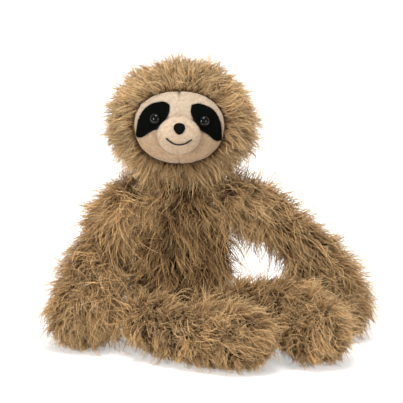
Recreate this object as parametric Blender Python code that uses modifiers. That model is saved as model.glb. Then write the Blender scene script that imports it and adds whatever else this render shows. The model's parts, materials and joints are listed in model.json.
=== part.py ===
"""Plush sloth, seated: a long-pile stuffed toy with a sewn-in face and four limp limbs.

Metres, +Z up. The toy faces -Y, so its left is +X. It sits on Z = 0, and the torso's axis is the Z axis.
A fur skin's outer surface is the middle of its pile.
"""

import math

import bmesh
import bpy
from mathutils import Matrix, Vector

# Cloth, thread and fits
SKIN_WALL = 0.006
PANEL_THICKNESS = 0.0015
PATCH_THICKNESS = 0.0009
THREAD_RADIUS = 0.0006
MESH_GAP = 0.0003
BEND_GAP = 0.0005
FLOOR_CUT = 0.0005
OVERRUN = 0.03
WELD_DISTANCE = 0.00001

# Torso, a turned form round the Z axis
NECK_HEIGHT = 0.1365
NECK_RADIUS = 0.019
TORSO_RADIUS = 0.034
TORSO_HEIGHT_SHARES = (0.0, 0.09, 0.22, 0.42, 0.64, 0.80, 0.92)
TORSO_RADIUS_SHARES = (0.74, 0.92, 1.0, 1.02, 0.98, 0.85, 0.67)
BAG_RADIUS = 0.022
BAG_HEIGHT = 0.021

# Closing seam in the back, its middle measured down from the neck's centre
SLIT_LENGTH = 0.040
SLIT_WIDTH = 0.004
SLIT_DROP = 0.058
CLOSING_STITCHES = 8
CLOSING_THREAD_RADIUS = 0.0005

# Head, its centre measured up and forward from the neck's centre
HEAD_RISE = 0.050
HEAD_FORWARD = 0.004
HEAD_HALF_WIDTH = 0.055
HEAD_HALF_DEPTH = 0.049
HEAD_HALF_HEIGHT = 0.046
CHEEK_SHARE = 0.05

# Face, measured from the head's centre. It is sewn in a little to the right of the middle and tilted.
FACE_HALF_WIDTH = 0.0382
FACE_HALF_HEIGHT = 0.0314
FACE_DROP = 0.0015
FACE_SHIFT = 0.0012
FACE_TILT_ANGLE = 2.5
FACE_CORNER_SHARE = 0.89
FACE_CORE_DEPTH = 0.043
MUZZLE_HALF_WIDTH = 0.0181
MUZZLE_HALF_HEIGHT = 0.0163
MUZZLE_HALF_DEPTH = 0.010
MUZZLE_DROP = 0.0051
MUZZLE_SINK = 0.003
NOSE_HALF_WIDTH = 0.0047
NOSE_HALF_HEIGHT = 0.0051
NOSE_HALF_DEPTH = 0.0030
NOSE_RISE = 0.0017
NOSE_TAPER_SHARE = 0.28
MOUTH_HALF_WIDTH = 0.0105
MOUTH_DROP = 0.0065
MOUTH_SAG = 0.0047
MOUTH_POINTS = 13
EYE_SPACING = 0.0399
EYE_RISE = 0.0074
EYE_RADIUS = 0.0046
EYE_BULGE = 0.0034
EYE_STEM_RADIUS = 0.0014
EYE_STEM_LENGTH = 0.0105
WASHER_RADIUS = 0.0060
WASHER_THICKNESS = 0.0012
# Outline of the right patch, from the inner top corner outwards, in shares of the face's half sizes
PATCH_WIDTH_SHARES = (-0.27, -0.48, -0.72, -0.86, -0.91, -0.89, -0.60, -0.41, -0.28, -0.225)
PATCH_HEIGHT_SHARES = (0.69, 0.69, 0.53, 0.26, -0.065, -0.28, -0.07, 0.085, 0.325, 0.60)

# Arms. A shoulder's centre stands off the torso. The hands rest on the floor, and an elbow falls by a share
# of the way down to them.
SHOULDER_STANDOFF = 0.0085
SHOULDER_FORWARD = 0.004
SHOULDER_DROP = 0.014
ARM_ROOT_RADIUS = 0.0155
ARM_BELLY_RADIUS = 0.0205
ELBOW_RADIUS = 0.0200
FOREARM_BELLY_RADIUS = 0.0240
HAND_RADIUS = 0.027
RIGHT_ELBOW_SHARE = 0.573
LEFT_ELBOW_SHARE = 0.413

# Legs. A hip's centre stands off the torso, at an angle from straight ahead.
HIP_STANDOFF = 0.0200
HIP_ANGLE = 35.2
HIP_HEIGHT = 0.027
LEG_ROOT_RADIUS = 0.0195
LEG_BELLY_RADIUS = 0.0250
KNEE_RADIUS = 0.0240
SHIN_BELLY_RADIUS = 0.0250
FOOT_RADIUS = 0.0265
RIGHT_THIGH_LENGTH = 0.050
RIGHT_SHIN_LENGTH = 0.0565
RIGHT_KNEE_HEIGHT = 0.0245
LEFT_THIGH_LENGTH = 0.048
LEFT_SHIN_LENGTH = 0.053
LEFT_KNEE_HEIGHT = 0.040

# Where the limbs point, in degrees from straight ahead towards the limb's own side
RIGHT_UPPER_ARM_HEADING = 111
RIGHT_FOREARM_HEADING = 17
LEFT_UPPER_ARM_HEADING = 94
LEFT_FOREARM_HEADING = 98
RIGHT_THIGH_HEADING = -38
RIGHT_SHIN_HEADING = -60
LEFT_THIGH_HEADING = 80
LEFT_SHIN_HEADING = 41
RIGHT_UPPER_ARM_SLOPE_ANGLE = 62.5
RIGHT_FOREARM_SLOPE_ANGLE = 47
LEFT_UPPER_ARM_SLOPE_ANGLE = 35
LEFT_FOREARM_SLOPE_ANGLE = 62.5

# Angles that clear the bends, in degrees, and shares along a limb
RIM_ANGLE = 58
SEAM_ANGLE = 17
NECK_SEAM_ANGLE = 48
BELLY_SHARE = 0.5
SWAY_SHARE = 0.5
MOUTH_SHARE = 0.3
MOUTH_NECK_SHARE = 0.8
MOUTH_FLARE_SHARE = 0.6
WINDOW_DEPTH_SHARE = 0.3

# Stations along a limb: shares of a stretch's length, and degrees round its rounded ends
ROOT_ANGLES = (80, 55, 27, 0)
BALL_ANGLES = (16, 90 - RIM_ANGLE)
TIP_ANGLES = (0, 20, 40, 58, 74)
FILLING_TIP_ANGLES = (0, 38, 66)
UPPER_SHARES = (0.2, 0.4, 0.58, 0.74, 0.88, 1.0)
UPPER_FILLING_SHARES = (0.3, 0.6, 1.0)
LOWER_SHARES = (0.34, 0.5, 0.66, 0.83)
LOWER_FILLING_SHARES = (0.55,)

# How finely the round forms are divided
EGG_SEGMENTS = 24
EGG_RINGS = 14
BALL_SEGMENTS = 28
SMALL_SEGMENTS = 20
SMALL_RINGS = 10
NOSE_SEGMENTS = 16
ROD_SIDES = 16
TURN_STEPS = 24
DOME_STEPS = 6
FILLING_DOME_STEPS = 4
EYE_DOME_STEPS = 5
SKIN_SIDES = 12
FILLING_SIDES = 10
THREAD_SIDES = 6
SEAM_POINTS = 18
FACE_POINTS = 36
PATCH_STEPS = 4

RIGHT = -1
LEFT = 1

FUR_BROWN = (0.270, 0.165, 0.090)
FUR_TAN = (0.370, 0.250, 0.135)
FACE_CREAM = (0.780, 0.600, 0.455)
PATCH_BLACK = (0.013, 0.015, 0.014)
GLOSS_BLACK = (0.006, 0.006, 0.007)
THREAD_BROWN = (0.110, 0.065, 0.035)
FIBRE_WHITE = (0.820, 0.810, 0.780)
BAG_LINEN = (0.600, 0.540, 0.440)
WASHER_WHITE = (0.700, 0.690, 0.660)


def clear_scene():
    for item in list(bpy.data.objects):
        bpy.data.objects.remove(item, do_unlink=True)


clear_scene()
parts = bpy.data.collections.new("plush_sloth")
cutters = bpy.data.collections.new("cutters")
bpy.context.scene.collection.children.link(parts)
bpy.context.scene.collection.children.link(cutters)


def material(name, colour, roughness):
    made = bpy.data.materials.new(name)
    made.use_nodes = True
    shader = made.node_tree.nodes["Principled BSDF"]
    shader.inputs["Base Color"].default_value = (*colour, 1.0)
    shader.inputs["Roughness"].default_value = roughness
    shader.inputs["Metallic"].default_value = 0.0
    return made


def add_part(name, mesh, finish):
    """One sub-part, smooth on its round faces."""
    made = bpy.data.objects.new(name, mesh)
    mesh.materials.clear()
    mesh.materials.append(finish)
    parts.objects.link(made)
    return made


def add_cutter(name, mesh):
    made = bpy.data.objects.new(name, mesh)
    made.hide_render = True
    made.display_type = "WIRE"
    cutters.objects.link(made)
    return made


def cut(target, *tools):
    for tool in tools:
        step = target.modifiers.new("cut_" + tool.name, "BOOLEAN")
        step.operation = "DIFFERENCE"
        step.solver = "EXACT"
        step.object = tool


def keep_inside(target, tool):
    step = target.modifiers.new("keep_" + tool.name, "BOOLEAN")
    step.operation = "INTERSECT"
    step.solver = "EXACT"
    step.object = tool


def from_bmesh(name, shape):
    mesh = bpy.data.meshes.new(name)
    shape.to_mesh(mesh)
    shape.free()
    mesh.shade_smooth()
    return mesh


def egg(name, centre, radii, segments=EGG_SEGMENTS, rings=EGG_RINGS, cheek=0.0):
    """An ellipsoid that is wider by the cheek share below its middle."""
    shape = bmesh.new()
    bmesh.ops.create_uvsphere(shape, u_segments=segments, v_segments=rings, radius=1.0)
    for corner in shape.verts:
        low = max(0.0, -corner.co.z)
        corner.co.x *= 1.0 + cheek * math.sin(math.pi * low)
    bmesh.ops.transform(shape, matrix=Matrix.Diagonal((*radii, 1.0)), verts=shape.verts)
    bmesh.ops.translate(shape, vec=centre, verts=shape.verts)
    return from_bmesh(name, shape)


def ball(name, centre, radius):
    return egg(name, centre, (radius, radius, radius), BALL_SEGMENTS, BALL_SEGMENTS // 2)


def rod(name, start, end, radius, sides=ROD_SIDES):
    """A cylinder from one point to another."""
    axis = end - start
    shape = bmesh.new()
    bmesh.ops.create_cone(
        shape, cap_ends=True, segments=sides, radius1=radius, radius2=radius, depth=axis.length
    )
    turn = axis.to_track_quat("Z", "Y").to_matrix().to_4x4()
    bmesh.ops.transform(shape, matrix=Matrix.Translation((start + end) / 2) @ turn, verts=shape.verts)
    return from_bmesh(name, shape)


def box(name, low, high):
    shape = bmesh.new()
    bmesh.ops.create_cube(shape, size=1.0)
    size = high - low
    bmesh.ops.transform(shape, matrix=Matrix.Diagonal((*size, 1.0)), verts=shape.verts)
    bmesh.ops.translate(shape, vec=(low + high) / 2, verts=shape.verts)
    return from_bmesh(name, shape)


def curve_mesh(name, curve):
    """The closed mesh of a curve object, with its caps welded. The curve is removed."""
    holder = bpy.data.objects.new(name, curve)
    bpy.context.scene.collection.objects.link(holder)
    seen = holder.evaluated_get(bpy.context.evaluated_depsgraph_get())
    mesh = bpy.data.meshes.new_from_object(seen)
    bpy.data.objects.remove(holder, do_unlink=True)
    bpy.data.curves.remove(curve)
    shape = bmesh.new()
    shape.from_mesh(mesh)
    bpy.data.meshes.remove(mesh)
    bmesh.ops.remove_doubles(shape, verts=shape.verts, dist=WELD_DISTANCE)
    bmesh.ops.recalc_face_normals(shape, faces=shape.faces)
    return from_bmesh(name, shape)


def tube(name, points, radii, sides, closed=False):
    """A tube along points with its own radius at each."""
    curve = bpy.data.curves.new(name, "CURVE")
    curve.dimensions = "3D"
    curve.bevel_depth = max(radii)
    curve.bevel_resolution = sides // 2 - 2
    curve.use_fill_caps = not closed
    line = curve.splines.new("POLY")
    line.points.add(len(points) - 1)
    line.use_cyclic_u = closed
    for knot, place, radius in zip(line.points, points, radii):
        knot.co = (*place, 1.0)
        knot.radius = radius / curve.bevel_depth
    return curve_mesh(name, curve)


def prism(name, outline, front, back, rounded=False):
    """A flat outline in X and Z, run along Y from front to back. A rounded one curves through its corners."""
    curve = bpy.data.curves.new(name, "CURVE")
    curve.dimensions = "2D"
    curve.fill_mode = "BOTH"
    curve.extrude = (back - front) / 2
    curve.resolution_u = PATCH_STEPS
    line = curve.splines.new("BEZIER" if rounded else "POLY")
    line.use_cyclic_u = True
    if rounded:
        line.bezier_points.add(len(outline) - 1)
        for knot, (x, z) in zip(line.bezier_points, outline):
            knot.co = (x, z, 0.0)
            knot.handle_left_type = "AUTO"
            knot.handle_right_type = "AUTO"
    else:
        line.points.add(len(outline) - 1)
        for knot, (x, z) in zip(line.points, outline):
            knot.co = (x, z, 0.0, 1.0)
    mesh = curve_mesh(name, curve)
    upright = Matrix.Rotation(math.pi / 2, 4, "X")
    mesh.transform(Matrix.Translation((0.0, (front + back) / 2, 0.0)) @ upright)
    return mesh


def eased(share):
    return share * share * (3.0 - 2.0 * share)


def between(place, knots):
    """The value at a place on a smooth line through (place, value) knots."""
    for (start, low), (end, high) in zip(knots, knots[1:]):
        if place <= end:
            return low + (high - low) * eased(max(0.0, (place - start) / (end - start)))
    return knots[-1][1]


fur_tan = material("fur_tan", FUR_TAN, 0.9)
fur_brown = material("fur_brown", FUR_BROWN, 0.9)
face_cream = material("face_cream", FACE_CREAM, 0.85)
patch_black = material("patch_black", PATCH_BLACK, 0.8)
gloss_black = material("gloss_black", GLOSS_BLACK, 0.12)
nose_black = material("nose_black", PATCH_BLACK, 0.5)
seam_thread = material("seam_thread", THREAD_BROWN, 0.7)
mouth_thread = material("mouth_thread", GLOSS_BLACK, 0.6)
fibre = material("fibre", FIBRE_WHITE, 0.95)
bag_cloth = material("bag_cloth", BAG_LINEN, 0.85)
washer_plastic = material("washer_plastic", WASHER_WHITE, 0.4)


def axis_empty(name, place, parent=None):
    """The empty on a joint's axis that carries the pieces of one moving body."""
    made = bpy.data.objects.new(name, None)
    parts.objects.link(made)
    made.empty_display_size = THREAD_RADIUS
    made.location = place
    if parent is not None:
        made.location = place - parent.matrix_world.translation
        made.parent = parent
    bpy.context.view_layer.update()
    return made


def carry(empty, *pieces):
    for piece in pieces:
        piece.parent = empty
        piece.matrix_parent_inverse = empty.matrix_world.inverted()


# Where each joint's centre lies
neck_centre = Vector((0.0, 0.0, NECK_HEIGHT))
head_centre = neck_centre + Vector((0.0, -HEAD_FORWARD, HEAD_RISE))
seam_gap = 2 * THREAD_RADIUS + 2 * MESH_GAP


def heading(side, degrees):
    angle = math.radians(degrees)
    return Vector((side * math.sin(angle), -math.cos(angle), 0.0))


def arm_places(side, elbow_share, upper, lower):
    """Centres of the shoulder, elbow and hand, from the (heading, slope) of each stretch."""
    places = [shoulder(side)]
    whole_fall = places[0].z - hand_height
    falls = (whole_fall * elbow_share, whole_fall * (1 - elbow_share))
    for fall, (degrees, slope) in zip(falls, (upper, lower)):
        step = heading(side, degrees) * (fall / math.tan(math.radians(slope)))
        places.append(places[-1] + step - Vector((0.0, 0.0, fall)))
    return places


def leg_places(side, upper, lower):
    """Centres of the hip, knee and foot, from the (length, heading, height) of each stretch."""
    places = [hip(side)]
    for length, degrees, height in (upper, lower):
        fall = places[-1].z - height
        step = heading(side, degrees) * math.sqrt(length * length - fall * fall)
        places.append(places[-1] + step - Vector((0.0, 0.0, fall)))
    return places


def shoulder(side):
    spread = TORSO_RADIUS + SHOULDER_STANDOFF
    return neck_centre + Vector((side * spread, -SHOULDER_FORWARD, -SHOULDER_DROP))


def hip(side):
    return heading(side, HIP_ANGLE) * (TORSO_RADIUS + HIP_STANDOFF) + Vector((0.0, 0.0, HIP_HEIGHT))


hand_height = HAND_RADIUS - FLOOR_CUT
foot_height = FOOT_RADIUS - FLOOR_CUT
right_arm_places = arm_places(
    RIGHT,
    RIGHT_ELBOW_SHARE,
    (RIGHT_UPPER_ARM_HEADING, RIGHT_UPPER_ARM_SLOPE_ANGLE),
    (RIGHT_FOREARM_HEADING, RIGHT_FOREARM_SLOPE_ANGLE),
)
left_arm_places = arm_places(
    LEFT,
    LEFT_ELBOW_SHARE,
    (LEFT_UPPER_ARM_HEADING, LEFT_UPPER_ARM_SLOPE_ANGLE),
    (LEFT_FOREARM_HEADING, LEFT_FOREARM_SLOPE_ANGLE),
)
right_leg_places = leg_places(
    RIGHT,
    (RIGHT_THIGH_LENGTH, RIGHT_THIGH_HEADING, RIGHT_KNEE_HEIGHT),
    (RIGHT_SHIN_LENGTH, RIGHT_SHIN_HEADING, foot_height),
)
left_leg_places = leg_places(
    LEFT,
    (LEFT_THIGH_LENGTH, LEFT_THIGH_HEADING, LEFT_KNEE_HEIGHT),
    (LEFT_SHIN_LENGTH, LEFT_SHIN_HEADING, foot_height),
)

# Floor, which cuts flat what the toy stands on
floor_reach = 2 * (NECK_HEIGHT + HEAD_RISE)
floor_low = Vector((-floor_reach, -floor_reach, -OVERRUN))
floor = add_cutter("floor", box("floor", floor_low, Vector((floor_reach, floor_reach, 0.0))))


def profile_mesh(name, outline):
    """An outline of (radius, height) places, as a line in the X and Z plane."""
    mesh = bpy.data.meshes.new(name)
    corners = [(radius, 0.0, height) for radius, height in outline]
    mesh.from_pydata(corners, [(i, i + 1) for i in range(len(corners) - 1)], [])
    return mesh


def turn_round(made, steps):
    turn = made.modifiers.new("turn", "SCREW")
    turn.axis = "Z"
    turn.steps = steps
    turn.render_steps = steps
    turn.use_merge_vertices = True
    turn.merge_threshold = WELD_DISTANCE
    turn.use_smooth_shade = True


# Torso: one skin over the stuffing and the bean bag, with a dimple for each limb's root
def torso_radius(height):
    heights = [share * NECK_HEIGHT for share in TORSO_HEIGHT_SHARES] + [NECK_HEIGHT]
    radii = [share * TORSO_RADIUS for share in TORSO_RADIUS_SHARES] + [NECK_RADIUS]
    return between(height, list(zip(heights, radii)))


def turned_torso(name, inset, holder, dome_steps=DOME_STEPS):
    """The torso's outline at an inset, turned round the Z axis. The top is a dome round the neck's centre."""
    dome_radius = NECK_RADIUS - inset
    outline = [(0.0, NECK_HEIGHT + dome_radius)]
    for step in range(1, dome_steps + 1):
        angle = math.pi / 2 * (1.0 - step / dome_steps)
        outline.append((dome_radius * math.cos(angle), NECK_HEIGHT + dome_radius * math.sin(angle)))
    sole = inset - FLOOR_CUT
    for share in reversed(TORSO_HEIGHT_SHARES[1:]):
        height = share * NECK_HEIGHT
        outline.append((torso_radius(height) - inset, height))
    sole_radius = TORSO_RADIUS_SHARES[0] * TORSO_RADIUS - inset
    outline += [(sole_radius, sole), (0.0, sole)]
    made = holder(name, profile_mesh(name, outline))
    turn_round(made, TURN_STEPS)
    return made


def dimple(name, centre, root_radius, extra=0.0):
    return add_cutter(name, ball(name, centre, root_radius + seam_gap + extra))


roots = [
    ("right_shoulder", shoulder(RIGHT), ARM_ROOT_RADIUS),
    ("left_shoulder", shoulder(LEFT), ARM_ROOT_RADIUS),
    ("right_hip", hip(RIGHT), LEG_ROOT_RADIUS),
    ("left_hip", hip(LEFT), LEG_ROOT_RADIUS),
]
dimples = [dimple(name + "_dimple", centre, radius) for name, centre, radius in roots]
dimple_backs = [dimple(name + "_dimple_back", centre, radius, SKIN_WALL) for name, centre, radius in roots]
filling_backs = [
    dimple(name + "_filling_back", centre, radius, SKIN_WALL + MESH_GAP) for name, centre, radius in roots
]

slit_height = NECK_HEIGHT - SLIT_DROP
torso_hollow = turned_torso("torso_hollow", SKIN_WALL, add_cutter)
cut(torso_hollow, *dimple_backs)
slit = add_cutter(
    "slit",
    box(
        "slit",
        Vector((-SLIT_WIDTH / 2, 0.0, slit_height - SLIT_LENGTH / 2)),
        Vector((SLIT_WIDTH / 2, TORSO_RADIUS + OVERRUN, slit_height + SLIT_LENGTH / 2)),
    ),
)
torso_skin = turned_torso("torso_skin", 0.0, lambda name, mesh: add_part(name, mesh, fur_brown))
cut(torso_skin, torso_hollow, slit, floor, *dimples)

bag_low = SKIN_WALL - FLOOR_CUT + MESH_GAP
bag_centre = Vector((0.0, 0.0, bag_low + BAG_HEIGHT / 2))
bag_radii = (BAG_RADIUS, BAG_RADIUS, BAG_HEIGHT / 2)
bag_egg = egg("bean_bag", bag_centre, bag_radii, SMALL_SEGMENTS, SMALL_RINGS)
bean_bag = add_part("bean_bag", bag_egg, bag_cloth)
bag_room_high = Vector((floor_reach, floor_reach, bag_low + BAG_HEIGHT + MESH_GAP))
bag_room = add_cutter("bag_room", box("bag_room", floor_low, bag_room_high))
torso_stuffing = turned_torso(
    "torso_stuffing",
    SKIN_WALL + MESH_GAP,
    lambda name, mesh: add_part(name, mesh, fibre),
    FILLING_DOME_STEPS,
)
cut(torso_stuffing, bag_room, *filling_backs)


# Closing stitch: one thread that zigzags up the slit, level with the middle of the skin
def closing_thread():
    swing = SLIT_WIDTH / 2 - MESH_GAP - CLOSING_THREAD_RADIUS
    length = SLIT_LENGTH - 2 * (MESH_GAP + CLOSING_THREAD_RADIUS)
    points = []
    for step in range(2 * CLOSING_STITCHES + 1):
        height = slit_height + length * (step / (2 * CLOSING_STITCHES) - 0.5)
        side = 1 if step % 2 else -1
        points.append(Vector((side * swing, torso_radius(height) - SKIN_WALL / 2, height)))
    return tube("closing_stitch", points, [CLOSING_THREAD_RADIUS] * len(points), THREAD_SIDES)


closing_stitch = add_part("closing_stitch", closing_thread(), seam_thread)


# Seam threads: rings of thread between a rounded root and the hollow that it sits in
def seam_ring(name, centre, inward, root_radius, degrees):
    angle = math.radians(degrees)
    distance = root_radius + MESH_GAP + THREAD_RADIUS
    middle = centre + inward * (distance * math.cos(angle))
    across = inward.orthogonal().normalized()
    other = inward.cross(across)
    ring_radius = distance * math.sin(angle)
    points = []
    for step in range(SEAM_POINTS):
        turn = 2 * math.pi * step / SEAM_POINTS
        points.append(middle + (across * math.cos(turn) + other * math.sin(turn)) * ring_radius)
    ring = tube(name, points, [THREAD_RADIUS] * SEAM_POINTS, THREAD_SIDES, closed=True)
    return add_part(name, ring, seam_thread)


neck_seam = seam_ring("neck_seam", neck_centre, Vector((0.0, 0.0, 1.0)), NECK_RADIUS, NECK_SEAM_ANGLE)
neck_turn_axis = axis_empty("neck_turn_axis", neck_centre)
carry(neck_turn_axis, neck_seam)

# Head: the fur skin, with the window that the face is sewn into and the hollow that takes the neck
socket_radius = NECK_RADIUS + seam_gap
core_radii = Vector((HEAD_HALF_WIDTH - SKIN_WALL, FACE_CORE_DEPTH, HEAD_HALF_HEIGHT - SKIN_WALL))


def face_layer(name, lift, holder):
    """An egg over the stuffing, raised by a lift, which a face piece is cut from."""
    return holder(name, egg(name, head_centre, core_radii + Vector((lift, lift, lift))))


def on_face(x, z):
    """A place across and above the head's centre, shifted and tilted as the face is."""
    angle = math.radians(FACE_TILT_ANGLE)
    return (
        x * math.cos(angle) + z * math.sin(angle) - FACE_SHIFT,
        z * math.cos(angle) - x * math.sin(angle),
    )


def face_outline(lift):
    """The face's oval, larger by a lift."""
    outline = []
    for step in range(FACE_POINTS):
        angle = 2 * math.pi * step / FACE_POINTS
        across, up = math.cos(angle), math.sin(angle)
        x = math.copysign(abs(across) ** FACE_CORNER_SHARE, across) * (FACE_HALF_WIDTH + lift)
        z = math.copysign(abs(up) ** FACE_CORNER_SHARE, up) * (FACE_HALF_HEIGHT + lift)
        across, up = on_face(x, z - FACE_DROP)
        outline.append((across, head_centre.z + up))
    return outline


face_front = head_centre.y - HEAD_HALF_DEPTH - OVERRUN
face_back = head_centre.y - FACE_CORE_DEPTH * WINDOW_DEPTH_SHARE
socket = add_cutter("socket", ball("socket", neck_centre, socket_radius))
socket_back = add_cutter("socket_back", ball("socket_back", neck_centre, socket_radius + SKIN_WALL))
filling_socket = add_cutter(
    "filling_socket", ball("filling_socket", neck_centre, socket_radius + SKIN_WALL + MESH_GAP)
)
window = add_cutter("window", prism("window", face_outline(0.0), face_front, face_back))
face_cutout = add_cutter("face_cutout", prism("face_cutout", face_outline(-MESH_GAP), face_front, face_back))

head_hollow = face_layer("head_hollow", MESH_GAP, add_cutter)
cut(head_hollow, socket_back)
head_radii = (HEAD_HALF_WIDTH, HEAD_HALF_DEPTH, HEAD_HALF_HEIGHT)
head_skin = add_part("head_skin", egg("head_skin", head_centre, head_radii, cheek=CHEEK_SHARE), fur_tan)
cut(head_skin, head_hollow, window, socket)

head_stuffing = face_layer("head_stuffing", 0.0, lambda name, mesh: add_part(name, mesh, fibre))
cut(head_stuffing, filling_socket)

# Face panel: short-pile cloth that fills the window
panel_lift = MESH_GAP + PANEL_THICKNESS
face_panel = face_layer("face_panel", panel_lift, lambda name, mesh: add_part(name, mesh, face_cream))
panel_under = face_layer("panel_under", MESH_GAP, add_cutter)
keep_inside(face_panel, face_cutout)
cut(face_panel, panel_under)

# Muzzle: a padded round panel that stands on the face panel
patch_seat = panel_lift + MESH_GAP
patch_bed = face_layer("patch_bed", patch_seat, add_cutter)


def front_of(x, z, lift):
    """The Y of the face's surface at a place across and above the head's centre."""
    wide, deep, high = core_radii + Vector((lift, lift, lift))
    return head_centre.y - deep * math.sqrt(1.0 - (x / wide) ** 2 - (z / high) ** 2)


muzzle_across, muzzle_up = on_face(0.0, -MUZZLE_DROP)
muzzle_back = front_of(muzzle_across, muzzle_up, patch_seat) + MUZZLE_SINK
muzzle_centre = Vector((muzzle_across, muzzle_back, head_centre.z + muzzle_up))
muzzle_radii = Vector((MUZZLE_HALF_WIDTH, MUZZLE_HALF_DEPTH, MUZZLE_HALF_HEIGHT))
muzzle = add_part("muzzle", egg("muzzle", muzzle_centre, muzzle_radii), face_cream)
cut(muzzle, patch_bed)


def muzzle_layer(name, lift, holder):
    return holder(name, egg(name, muzzle_centre, muzzle_radii + Vector((lift, lift, lift))))


def on_muzzle(x, z, lift):
    """The place over the muzzle's surface by a lift, at a place on the face."""
    across, up = on_face(x, z)
    across, up = across - muzzle_across, up - muzzle_up
    wide, deep, high = muzzle_radii + Vector((lift, lift, lift))
    fall = deep * math.sqrt(1.0 - (across / wide) ** 2 - (up / high) ** 2)
    return muzzle_centre + Vector((across, -fall, up))


muzzle_bed = muzzle_layer("muzzle_bed", MESH_GAP, add_cutter)

# Nose: a rounded piece, narrower at the bottom, on the muzzle's front
nose_centre = on_muzzle(0.0, NOSE_RISE, 0.0)


def nose_mesh():
    shape = bmesh.new()
    bmesh.ops.create_uvsphere(shape, u_segments=NOSE_SEGMENTS, v_segments=SMALL_RINGS, radius=1.0)
    for corner in shape.verts:
        corner.co.x *= 1.0 + NOSE_TAPER_SHARE * corner.co.z
    size = (NOSE_HALF_WIDTH, NOSE_HALF_DEPTH, NOSE_HALF_HEIGHT, 1.0)
    bmesh.ops.transform(shape, matrix=Matrix.Diagonal(size), verts=shape.verts)
    bmesh.ops.translate(shape, vec=nose_centre, verts=shape.verts)
    return from_bmesh("nose", shape)


nose = add_part("nose", nose_mesh(), nose_black)
cut(nose, muzzle_bed)


# Mouth: one thread laid over the muzzle in a smile
def mouth_mesh():
    lift = MESH_GAP + THREAD_RADIUS
    points = []
    for step in range(MOUTH_POINTS):
        share = 2 * step / (MOUTH_POINTS - 1) - 1
        z = -MOUTH_DROP - MOUTH_SAG * (1 - share * share)
        points.append(on_muzzle(share * MOUTH_HALF_WIDTH, z, lift))
    return tube("mouth_stitch", points, [THREAD_RADIUS] * len(points), THREAD_SIDES)


mouth_stitch = add_part("mouth_stitch", mouth_mesh(), mouth_thread)


# Eyes, their stems and washers, and the patches that they sit on
def patch_outline(side):
    outline = []
    for width_share, height_share in zip(PATCH_WIDTH_SHARES, PATCH_HEIGHT_SHARES):
        x = -side * width_share * FACE_HALF_WIDTH
        across, up = on_face(x, height_share * FACE_HALF_HEIGHT - FACE_DROP)
        outline.append((across, head_centre.z + up))
    return outline if side == RIGHT else outline[::-1]


def eye_side(side):
    """The patch, eye and washer of one side."""
    word = "right" if side == RIGHT else "left"
    across, up = on_face(side * EYE_SPACING / 2, EYE_RISE)
    seat_lift = patch_seat + PATCH_THICKNESS
    seat = Vector((across, front_of(across, up, seat_lift), head_centre.z + up))
    wide, deep, high = core_radii + Vector((seat_lift, seat_lift, seat_lift))
    out = Vector((across / wide**2, (seat.y - head_centre.y) / deep**2, up / high**2)).normalized()
    stem_end = seat - out * EYE_STEM_LENGTH
    hole_name = word + "_eye_hole"
    hole_radius = EYE_STEM_RADIUS + MESH_GAP
    hole_rod = rod(hole_name, stem_end - out * MESH_GAP, seat + out * EYE_BULGE, hole_radius)
    hole = add_cutter(hole_name, hole_rod)
    patch = face_layer(word + "_eye_patch", seat_lift, lambda name, mesh: add_part(name, mesh, patch_black))
    shape_name = word + "_patch_shape"
    shape = prism(shape_name, patch_outline(side), face_front, face_back, rounded=True)
    keep_inside(patch, add_cutter(shape_name, shape))
    cut(patch, patch_bed, muzzle_bed, hole)

    # The eye is a dome with a flat seat and a stem, turned as one piece
    profile = [(0.0, MESH_GAP + EYE_BULGE)]
    for step in range(1, EYE_DOME_STEPS):
        angle = math.pi / 2 * (1.0 - step / EYE_DOME_STEPS)
        profile.append((EYE_RADIUS * math.cos(angle), MESH_GAP + EYE_BULGE * math.sin(angle)))
    profile += [(EYE_RADIUS, MESH_GAP), (EYE_STEM_RADIUS, MESH_GAP)]
    profile += [(EYE_STEM_RADIUS, -EYE_STEM_LENGTH), (0.0, -EYE_STEM_LENGTH)]
    eye = add_part(word + "_eye", profile_mesh(word + "_eye", profile), gloss_black)
    turn_round(eye, SMALL_SEGMENTS)
    eye.rotation_euler = out.to_track_quat("Z", "Y").to_euler()
    eye.location = seat

    under = seat - out * (seat_lift - MESH_GAP)
    washer_front = under - out * (PANEL_THICKNESS + MESH_GAP)
    washer_back = washer_front - out * WASHER_THICKNESS
    washer_name = word + "_eye_washer"
    disc = rod(washer_name, washer_back, washer_front, WASHER_RADIUS, SMALL_SEGMENTS)
    washer = add_part(washer_name, disc, washer_plastic)
    cut(washer, hole)
    room_name = word + "_washer_room"
    room = rod(room_name, washer_back - out * MESH_GAP, seat, WASHER_RADIUS + MESH_GAP, SMALL_SEGMENTS)
    cut(head_stuffing, add_cutter(room_name, room), hole)
    cut(face_panel, hole)
    return patch, eye, washer


right_eye_pieces = eye_side(RIGHT)
left_eye_pieces = eye_side(LEFT)
neck_nod_axis = axis_empty("neck_nod_axis", neck_centre, neck_turn_axis)
bpy.context.view_layer.update()
carry(neck_nod_axis, head_skin, head_stuffing, face_panel, muzzle, nose, mouth_stitch)
carry(neck_nod_axis, *right_eye_pieces, *left_eye_pieces)


# Limbs: two stretches each. A stretch starts in a ball round its joint and swells, and the lower one ends
# in a rounded hand or foot.
def blend_path(start, end, start_way, end_way, distance):
    """The place at a distance along a smooth path with a given way at each end."""
    chord = (end - start).length
    share = distance / chord
    square, cube = share * share, share * share * share
    return (
        start * (2 * cube - 3 * square + 1)
        + start_way * (chord * (cube - 2 * square + share))
        + end * (3 * square - 2 * cube)
        + end_way * (chord * (cube - square))
    )


def ways(places):
    """The way of a limb at its root, its middle and its end."""
    root, middle, end = places
    whole = (end - root).normalized()
    first = ((middle - root).normalized() * (1 + SWAY_SHARE) - whole * SWAY_SHARE).normalized()
    last = ((end - middle).normalized() * (1 + SWAY_SHARE) - whole * SWAY_SHARE).normalized()
    return first, whole, last


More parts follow.
